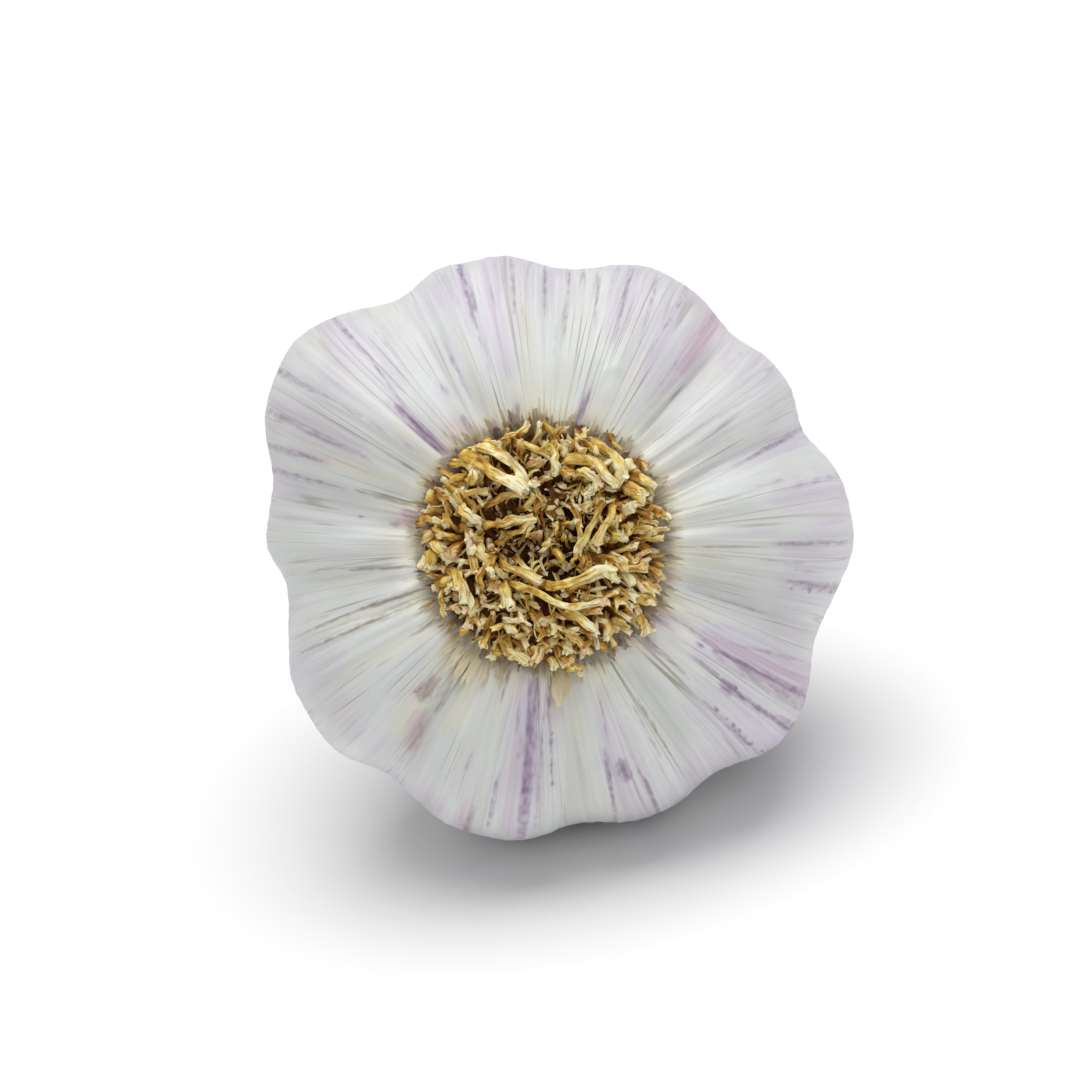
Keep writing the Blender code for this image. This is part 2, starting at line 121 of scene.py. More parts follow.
# A mesh from vertices, and quads and triangles given as rows of vertex numbers, shaded smooth, with its
# attributes. turned reverses the order round every face, for grids that would otherwise look inward
def meshPiece(name, points, quads, triangles=(), attributes=None, sharpDeg=None, turned=False):
    mesh = bpy.data.meshes.new(name)
    faces = np.asarray(quads).tolist() + np.asarray(triangles).tolist()
    if turned:
        faces = [face[::-1] for face in faces]
    mesh.from_pydata(points.reshape(-1, 3).tolist(), [], faces)
    for label, values in (attributes or {}).items():
        kind, field = ("FLOAT_COLOR", "color") if values.shape[-1] == 4 else ("FLOAT_VECTOR", "vector")
        layer = mesh.attributes.new(label, kind, "POINT")
        layer.data.foreach_set(field, values.astype(np.float32).ravel())
    mesh.shade_smooth()
    if sharpDeg is not None:
        mesh.set_sharp_from_angle(angle=math.radians(sharpDeg))
    mesh.update()
    piece = bpy.data.objects.new(name, mesh)
    bpy.context.scene.collection.objects.link(piece)
    return piece


# Faces of a closed tube of rows x columns places, with the numbers of its two poles after theirs: quads
# between neighbouring rows, which close on themselves, and triangles from each end row to its pole
def tubeFaces(rows, columns):
    number = np.arange(rows * columns).reshape(rows, columns)
    beside = np.roll(number, -1, axis=1)
    quads = np.stack([number[:-1], beside[:-1], beside[1:], number[1:]], axis=-1).reshape(-1, 4)
    pole = np.full(columns, rows * columns)
    startCap = np.stack([beside[0], number[0], pole], axis=-1)
    endCap = np.stack([number[-1], beside[-1], pole + 1], axis=-1)
    return quads, np.vstack([startCap, endCap])


# A closed tube through rows of points, with a pole at each end
def closedTube(grid, startPole, endPole):
    points = np.vstack([grid.reshape(-1, 3), startPole, endPole])
    return points, *tubeFaces(*grid.shape[:2])


# Many closed tubes at once: rings is tubes x rows x columns x 3, and each tube gets a pole at both ends
def manyTubes(rings, startPoles, endPoles):
    tubes, rows, columns = rings.shape[:3]
    points = np.concatenate([rings.reshape(tubes, -1, 3), startPoles[:, None], endPoles[:, None]], axis=1)
    quads, triangles = tubeFaces(rows, columns)
    offsets = np.arange(tubes)[:, None, None] * (rows * columns + 2)
    return points, (quads + offsets).reshape(-1, 4), (triangles + offsets).reshape(-1, 3)


# Many thin sheets at once, each a closed shell: a front grid, a back grid and a strip round their edge
def manySheets(fronts, backs):
    sheets, rows, columns = fronts.shape[:3]
    each = rows * columns
    number = np.arange(each).reshape(rows, columns)
    corners = [number[:-1, :-1], number[:-1, 1:], number[1:, 1:], number[1:, :-1]]
    front = np.stack(corners, axis=-1).reshape(-1, 4)
    edge = np.concatenate([number[0, :-1], number[:-1, -1], number[-1, :0:-1], number[:0:-1, 0]])
    beside = np.roll(edge, -1)
    strip = np.stack([beside, edge, edge + each, beside + each], axis=-1)
    quads = np.vstack([front, front[:, ::-1] + each, strip])
    points = np.concatenate([fronts.reshape(sheets, -1, 3), backs.reshape(sheets, -1, 3)], axis=1)
    offsets = np.arange(sheets)[:, None, None] * 2 * each
    return points, (quads + offsets).reshape(-1, 4)


# A shader node with its settings and inputs, linked where an input is given as a socket
def placeNode(tree, kind, settings=None, inputs=None):
    node = tree.nodes.new(kind)
    for label, value in (settings or {}).items():
        setattr(node, label, value)
    for label, value in (inputs or {}).items():
        if isinstance(value, bpy.types.NodeSocket):
            tree.links.new(value, node.inputs[label])
        else:
            node.inputs[label].default_value = value
    return node


# One sum with two numbers or sockets
def mathNode(tree, operation, first, second=0.0, clamp=False):
    settings = {"operation": operation, "use_clamp": clamp}
    return placeNode(tree, "ShaderNodeMath", settings, {0: first, 1: second}).outputs[0]


# First number times the second
def timesNode(tree, first, second, clamp=False):
    return mathNode(tree, "MULTIPLY", first, second, clamp)


# under + share x (over - under), or under + share x (under x over - under) where way is MULTIPLY
def blendColour(tree, share, under, over, way="MIX"):
    settings = {"data_type": "RGBA", "blend_type": way}
    return placeNode(tree, "ShaderNodeMix", settings, {0: share, 6: under, 7: over}).outputs[2]


# Colour between the stops (place, colour) on either side of the value, by its distance from each
def rampNode(tree, value, stops):
    node = placeNode(tree, "ShaderNodeValToRGB", None, {0: value})
    while len(node.color_ramp.elements) < len(stops):
        node.color_ramp.elements.new(0.5)
    for element, (place, colour) in zip(node.color_ramp.elements, stops):
        element.position = place
        element.color = (*colour, 1.0)
    return node.outputs[0]


# A mesh attribute's outputs, as vector, colour and fourth channel
def readAttribute(tree, label):
    return placeNode(tree, "ShaderNodeAttribute", {"attribute_name": label}).outputs


# The first three channels of a colour attribute, each on its own, and the fourth
def readChannels(tree, label):
    outputs = readAttribute(tree, label)
    return *placeNode(tree, "ShaderNodeSeparateColor", None, {0: outputs["Color"]}).outputs, outputs["Alpha"]


# An empty node group with its sockets, and the places inside it where they come in and go out
def newGroup(name, inputs, outputs):
    group = bpy.data.node_groups.new(name, "ShaderNodeTree")
    for label, kind, value in inputs:
        socket = group.interface.new_socket(label, in_out="INPUT", socket_type=kind)
        if value is not None:
            socket.default_value = value
    for label, kind in outputs:
        group.interface.new_socket(label, in_out="OUTPUT", socket_type=kind)
    entry = group.nodes.new("NodeGroupInput")
    leave = group.nodes.new("NodeGroupOutput")
    return group, entry.outputs, leave.inputs


# A group used in a tree, and its outputs
def placeGroup(tree, group, inputs):
    return placeNode(tree, "ShaderNodeGroup", {"node_tree": group}, inputs).outputs


# A material with its node tree and its Principled shader
def newMaterial(name):
    material = bpy.data.materials.new(name)
    material.use_nodes = True
    tree = material.node_tree
    return material, tree, tree.nodes["Principled BSDF"]


# Links colour, roughness and a bump of the given height, strength and depth to the shader
def setSurface(tree, shader, colour, roughness, height, strength, depth):
    sockets = {"Height": height, "Strength": strength, "Distance": depth}
    bump = placeNode(tree, "ShaderNodeBump", None, sockets)
    tree.links.new(colour, shader.inputs["Base Color"])
    tree.links.new(roughness, shader.inputs["Roughness"])
    tree.links.new(bump.outputs[0], shader.inputs["Normal"])


# Light scattered under the surface, and how strongly the surface mirrors
def setScatter(shader, weight, reach, specular=0.5):
    shader.inputs["Subsurface Weight"].default_value = weight
    shader.inputs["Subsurface Scale"].default_value = reach
    shader.inputs["Specular IOR Level"].default_value = specular


# Fine fibres: noise at grain x (across, across, along), so that it runs in long thin lines
def makeFibreGroup():
    inputs = [
        ("Grain", "NodeSocketVector", None),
        ("Across", "NodeSocketFloat", 60.0),
        ("Along", "NodeSocketFloat", 60.0),
        ("Detail", "NodeSocketFloat", 3.0),
    ]
    group, given, out = newGroup("fibre lines", inputs, [("Fibre", "NodeSocketFloat")])
    across, along = given["Across"], given["Along"]
    scale = placeNode(group, "ShaderNodeCombineXYZ", None, {0: across, 1: across, 2: along}).outputs[0]
    factors = {0: given["Grain"], 1: scale}
    stretched = placeNode(group, "ShaderNodeVectorMath", {"operation": "MULTIPLY"}, factors).outputs[0]
    inputs = {"Vector": stretched, "Scale": 1.0, "Detail": given["Detail"], "Roughness": 0.6}
    noise = placeNode(group, "ShaderNodeTexNoise", None, inputs)
    group.links.new(noise.outputs[0], out["Fibre"])
    return group


# The value moved from one range to another, eased at both ends, or straight where way is LINEAR
def mapNode(tree, value, fromLow, fromHigh, toLow=0.0, toHigh=1.0, way="SMOOTHSTEP"):
    limits = {"Value": value, "From Min": fromLow, "From Max": fromHigh, "To Min": toLow, "To Max": toHigh}
    return placeNode(tree, "ShaderNodeMapRange", {"interpolation_type": way}, limits).outputs[0]


# Stain broken up along the fibres: each place takes colour once the mark's strength passes its own noise,
# more sharply the smaller the softness, and fades out where the mark is weakest
def makeStainGroup():
    inputs = [
        ("Mark", "NodeSocketFloat", 0.0),
        ("Fibre", "NodeSocketFloat", 0.5),
        ("Softness", "NodeSocketFloat", 0.35),
    ]
    group, given, out = newGroup("stain along fibres", inputs, [("Cover", "NodeSocketFloat")])
    place = mapNode(group, given["Fibre"], *fibreRange, 0.06, 0.94, "LINEAR")
    low = mathNode(group, "SUBTRACT", place, given["Softness"])
    high = mathNode(group, "ADD", place, given["Softness"])
    taken = mapNode(group, given["Mark"], low, high)
    faded = timesNode(group, taken, mapNode(group, given["Mark"], 0.0, 0.22))
    group.links.new(faded, out["Cover"])
    return group


# Thin veins: 1 - |fibre noise - 0.5| / width, so a line runs wherever the noise passes its middle value
def makeVeinGroup():
    inputs = [("Fibre", "NodeSocketFloat", 0.5), ("Width", "NodeSocketFloat", 0.03)]
    group, given, out = newGroup("thin veins", inputs, [("Vein", "NodeSocketFloat")])
    away = mathNode(group, "ABSOLUTE", mathNode(group, "SUBTRACT", given["Fibre"], 0.5))
    group.links.new(mapNode(group, away, 0.0, given["Width"], 1.0, 0.0), out["Vein"])
    return group


fibreRange = (0.30, 0.70)  # nearly all of the fibre noise lies between these
fibreGroup = makeFibreGroup()
stainGroup = makeStainGroup()
veinGroup = makeVeinGroup()


# Fibre noise at the grain, with its two counts a unit across and along
def fibres(tree, grain, across, along, detail=3.0):
    inputs = {"Grain": grain, "Across": across, "Along": along, "Detail": detail}
    return placeGroup(tree, fibreGroup, inputs)[0]


# Cover of a stain from its mark's strength and the fibre noise
def stain(tree, mark, fibre, softness):
    return placeGroup(tree, stainGroup, {"Mark": mark, "Fibre": fibre, "Softness": softness})[0]


# Lines where the fibre noise is within width of its middle
def veins(tree, fibre, width):
    return placeGroup(tree, veinGroup, {"Fibre": fibre, "Width": width})[0]


# The bulb's shape, as its solid has it: clove crests and creases, the mean meridian and the neck
bulbShape = {
    "meanReach": 0.0300,
    # direction and reach of each crest, and of the crease after it
    "cloves": (
        (5, 0.0318, 25, 0.0292), (37, 0.0300, 48, 0.0289),
        (66, 0.0306, 85, 0.0284), (106, 0.0303, 120, 0.0294),
        (143, 0.0328, 169, 0.0283), (178, 0.0282, 189, 0.0268),
        (223, 0.0299, 236, 0.0283), (260, 0.0306, 279, 0.0288),
        (294, 0.0301, 306, 0.0292), (323, 0.0316, 343, 0.0295),
    ),
    "crestFullness": 1.25,
    # place along the bulb and radius, from the seat of the plate to the cut neck
    "meridian": (
        (0.0026, 0.0109), (0.0012, 0.0112),
        (0.0004, 0.0124), (0.0000, 0.0152),
        (0.0012, 0.0200), (0.0047, 0.0252),
        (0.0105, 0.0288), (0.0180, 0.0300),
        (0.0260, 0.0286), (0.0335, 0.0240),
        (0.0395, 0.0178), (0.0445, 0.0120),
        (0.0500, 0.0077), (0.0565, 0.0057),
        (0.0635, 0.0050), (0.0690, 0.0053),
    ),
    "places": 1600,
    "risingFrom": 400,  # from this place on the meridian only moves towards the neck
    "widestAlong": 0.0180,
    # how strongly the cloves show, by radius
    "showRootSide": ((0.0109, 0.0), (0.0130, 0.12), (0.0170, 0.45), (0.0230, 0.85), (0.0288, 1.0)),
    "showNeckSide": (
        (0.0050, 0.0), (0.0070, 0.15), (0.0120, 0.75), (0.0190, 1.2), (0.0265, 1.1), (0.0300, 1.0),
    ),
    "creaseHalfWidthDeg": 11.0,
    "shoulderCrease": 0.0011,
    "shoulderRise": (0.020, 0.032),
    "shoulderFall": (0.040, 0.050),
    "neckStart": 0.0440,
    "neckBlend": 0.0100,
    "neckTwistDeg": 16,
    "neckDrift": (0.0016, -0.0006),
    "neckFolds": ((7, 0.00030, 40), (11, 0.00022, 160)),  # count, height and phase
}
meridian = smoothLine(bulbShape["meridian"], bulbShape["places"])
meridianSlope = unit(np.gradient(meridian, axis=0))
meridianRun = np.concatenate([[0.0], np.cumsum(np.linalg.norm(np.diff(meridian, axis=0), axis=1))])
rising = slice(bulbShape["risingFrom"], None)
widestRun = float(np.interp(bulbShape["widestAlong"], meridian[rising, 0], meridianRun[rising]))
wholeRun = float(meridianRun[-1])
tipAlong = bulbShape["meridian"][-1][0]


# Reach of the widest outline in each direction: crest + (crease - crest) x (3a^2 - 2a^3), where a is the
# share of the way from the crest to the crease, raised to the crest's fullness
def cloveReach(directions):
    turns = []
    reaches = []
    for crest, high, crease, low in bulbShape["cloves"]:
        turns += [crest, crease]
        reaches += [high, low]
    turns = np.array(turns + [bulbShape["cloves"][0][0] + 360], float)
    reaches = np.array(reaches + [bulbShape["cloves"][0][1]])
    within = (directions - turns[0]) % 360 + turns[0]
    left = np.clip(np.searchsorted(turns, within, side="right") - 1, 0, len(turns) - 2)
    share = (within - turns[left]) / (turns[left + 1] - turns[left])
    leaving = left % 2 == 0
    away = np.where(leaving, share, 1.0 - share) ** bulbShape["crestFullness"]
    drop = away * away * (3.0 - 2.0 * away)
    crest = np.where(leaving, reaches[left], reaches[left + 1])
    crease = np.where(leaving, reaches[left + 1], reaches[left])
    return crest + (crease - crest) * drop


# The shortest way round from one direction to others, in degrees from -180 to 180
def turnFrom(start, directions):
    return (directions - start + 180.0) % 360.0 - 180.0


# 1 in the bottom of a crease between cloves, easing to 0 at the crease's half-width
def creaseShare(directions):
    nearest = np.full(np.shape(directions), 180.0)
    for _, _, crease, _ in bulbShape["cloves"]:
        nearest = np.minimum(nearest, np.abs(turnFrom(crease, directions)))
    return 1.0 - softStep(0.0, bulbShape["creaseHalfWidthDeg"], nearest)


# Run along the meridian at which the mean root side has this radius
def runAtRadius(radius):
    rootSide = meridian[:, 0] < bulbShape["widestAlong"]
    return np.interp(radius, meridian[rootSide, 1], meridianRun[rootSide])


# How far the neck's middle has moved sideways at a place along the bulb: drift x eased share of the way
def neckMiddle(along):
    shape = bulbShape
    neck = softStep(shape["neckStart"], shape["neckStart"] + shape["neckBlend"], along)
    share = neck * (along - shape["neckStart"]) / (tipAlong - shape["neckStart"])
    return np.stack([shape["neckDrift"][0] * share, 0.0 * share, shape["neckDrift"][1] * share], axis=-1)


# Points of the skin: the mean meridian pushed out along its normal by the cloves, less the crease of the
# shoulder, plus the neck's folds and a given lift, then turned and moved sideways towards the neck
def skinPoints(directions, runs, lift=0.0):
    shape = bulbShape
    along = np.interp(runs, meridianRun, meridian[:, 0])
    radius = np.interp(runs, meridianRun, meridian[:, 1])
    normalAlong = -np.interp(runs, meridianRun, meridianSlope[:, 1])
    normalOut = np.interp(runs, meridianRun, meridianSlope[:, 0])
    rootTable = np.array(shape["showRootSide"]).T
    neckTable = np.array(shape["showNeckSide"]).T
    onRootSide = along < shape["widestAlong"]
    show = np.where(onRootSide, np.interp(radius, *rootTable), np.interp(radius, *neckTable))
    push = show * (cloveReach(directions) - shape["meanReach"])
    shoulder = softStep(*shape["shoulderRise"], along) * (1.0 - softStep(*shape["shoulderFall"], along))
    push = push - shoulder * shape["shoulderCrease"] * creaseShare(directions)
    neck = softStep(shape["neckStart"], shape["neckStart"] + shape["neckBlend"], along)
    for count, height, phase in shape["neckFolds"]:
        push = push + neck * height * np.cos(np.radians(count * directions + phase))
    push = push + lift
    twist = shape["neckTwistDeg"] * softStep(shape["widestAlong"], tipAlong, along)
    angle = np.radians(directions + twist)
    reach = radius + normalOut * push
    offset = np.stack([reach * np.cos(angle), along + normalAlong * push, reach * np.sin(angle)], axis=-1)
    return offset + neckMiddle(along)


# The papery skin: soft pleats near the plate, fine veins, creases between the cloves, edges of overlapping
# leaves, and a thin torn edge at the neck
skin = {
    "columns": 840,
    "seatRows": 10,
    "rootRows": 76,
    "neckRows": 28,
    "denseFrom": 0.0092,  # the rows are close together between these two runs
    "denseTo": 0.0345,
    "wanderDeg": 1.1,
    "wanderRun": 0.011,
    "rootSideEnd": (-0.004, 0.010),  # run past the widest place
    "gather": (0.8, 0.35, 0.2, 1.6),  # middle, spread, least and most
    # heights, and the radii over which each kind of relief starts or ends
    "opening": (0.0112, 0.0135),
    "pleatHeight": 0.00013,
    "pleatEnd": (0.0150, 0.0225),
    "pleatRest": 0.12,
    "veinHeight": 0.000018,
    "veinStart": (0.0112, 0.0150),
    "swellHeight": 0.00007,
    "swellStart": (0.0135, 0.0200),
    "mottleHeight": 0.00009,
    "mottleStart": (0.0140, 0.0200),
    "creaseStart": (0.0125, 0.0165),
    "creaseEnd": (0.0245, 0.0290),
    # crease depth at which the painted shade in a crease is at its darkest
    "creaseShadeFullDepth": 0.0006,
    # direction, depth, and spread in degrees towards rising and falling directions
    "creases": (
        (25, 0.00030, 3.5, 3.5), (48, 0.00060, 3.0, 4.0),
        (85, 0.00035, 3.5, 3.5), (120, 0.00030, 3.5, 3.5),
        (152, 0.00040, 9.0, 8.0), (169, 0.00040, 3.5, 3.5),
        (189, 0.00030, 3.0, 3.0), (236, 0.00050, 3.5, 3.0),
        (279, 0.00040, 3.0, 3.5), (306, 0.00035, 3.5, 3.0),
        (343, 0.00080, 11.0, 2.0), (353, 0.00030, 6.0, 6.0),
    ),
    "leafEdgeEnd": (0.0245, 0.0285),
    "leafEdgeDeg": 4.0,
    "leafEdgeRun": 0.034,
    # direction at the plate and at the rim, and height of the step
    "leafEdges": (
        (18, 24, 0.00012), (39, 34, 0.00014),
        (76, 72, 0.00010), (101, 99, 0.00009),
        (128, 133, 0.00010), (143, 150, 0.00016),
        (205, 199, 0.00014), (222, 228, 0.00012),
        (262, 257, 0.00010), (297, 301, 0.00014),
        (351, 353, 0.00012),
    ),
    "blister": (0.0072, 0.0165, 0.0013),  # place across the root end and radius of the ring
    "blisterHeight": 0.00012,
    "blisterWidth": 0.00035,
    "tipRagged": 0.0007,
    "tipRaggedRun": 0.006,
    "tipRaggedLimits": (-1.6, 0.9),
    "tipWall": 0.00016,
    "tipRows": ((0.0, 1.0), (0.0006, 1.0), (0.0018, 1.5), (0.0040, 1.5)),  # depth inside, and walls thick
    "seed": 5,
}
skinDraws = np.random.default_rng(skin["seed"])
pleatProfile = roundProfile(skinDraws, 24, 50)
veinProfile = roundProfile(skinDraws, 70, 150)
swellProfile = roundProfile(skinDraws, 12, 26)
wanderProfile = roundProfile(skinDraws, 3, 14)
gatherProfile = roundProfile(skinDraws, 1, 5)


# Directions of the grain: direction + wander x wavy line x sin(run / length)
def grainDirections(directions, runs):
    wander = skin["wanderDeg"] * readProfile(wanderProfile, directions)
    return directions + wander * np.sin(runs / skin["wanderRun"])


# Height of the skin's relief: the sum of its pleats, veins, swells, leaf edges and blister, less its
# creases, whose depth falls off as exp(-degrees / spread); and how deep in a crease each place is, which sets
# the painted shade in the creases
def skinRelief(directions, runs):
    spec = skin
    grain = grainDirections(directions, runs)
    radius = np.interp(runs, meridianRun, meridian[:, 1])
    sideStart, sideEnd = spec["rootSideEnd"]
    rootSide = 1.0 - softStep(widestRun + sideStart, widestRun + sideEnd, runs)
    middle, spread, least, most = spec["gather"]
    gather = np.clip(middle + spread * readProfile(gatherProfile, directions), least, most)
    opening = softStep(*spec["opening"], radius)
    pleats = gather * opening * (1.0 - softStep(*spec["pleatEnd"], radius)) * rootSide
    lift = spec["pleatHeight"] * (pleats + spec["pleatRest"] * opening) * readProfile(pleatProfile, grain)
    veinShow = softStep(*spec["veinStart"], radius) * (0.5 + 0.5 * rootSide)
    lift = lift + spec["veinHeight"] * veinShow * readProfile(veinProfile, grain)
    swellShow = softStep(*spec["swellStart"], radius)
    lift = lift + spec["swellHeight"] * swellShow * readProfile(swellProfile, grain)
    seen = softStep(*spec["creaseStart"], radius) * (1.0 - softStep(*spec["creaseEnd"], radius)) * rootSide
    paintedCreaseShade = 0.0 * lift
    for direction, depth, rising, falling in spec["creases"]:
        away = turnFrom(direction, directions)
        close = seen * np.exp(-np.where(away > 0.0, away / rising, -away / falling))
        lift = lift - depth * close
        paintedCreaseShade = np.maximum(paintedCreaseShade, close * min(1.0, depth / spec["creaseShadeFullDepth"]))
    across = softStep(0.0, spec["leafEdgeRun"], runs)
    edgeShow = opening * rootSide * (1.0 - softStep(*spec["leafEdgeEnd"], radius))
    for near, far, step in spec["leafEdges"]:
        away = turnFrom(near + (far - near) * across, grain)
        lift = lift + step * edgeShow * np.where(away > 0.0, np.exp(-away / spec["leafEdgeDeg"]), 0.0)
    x, y, ring = spec["blister"]
    angle = np.radians(directions)
    offset = np.hypot(radius * np.cos(angle) - x, radius * np.sin(angle) - y) - ring
    blister = np.exp(-((offset / spec["blisterWidth"]) ** 2))
    return lift + spec["blisterHeight"] * rootSide * blister, paintedCreaseShade


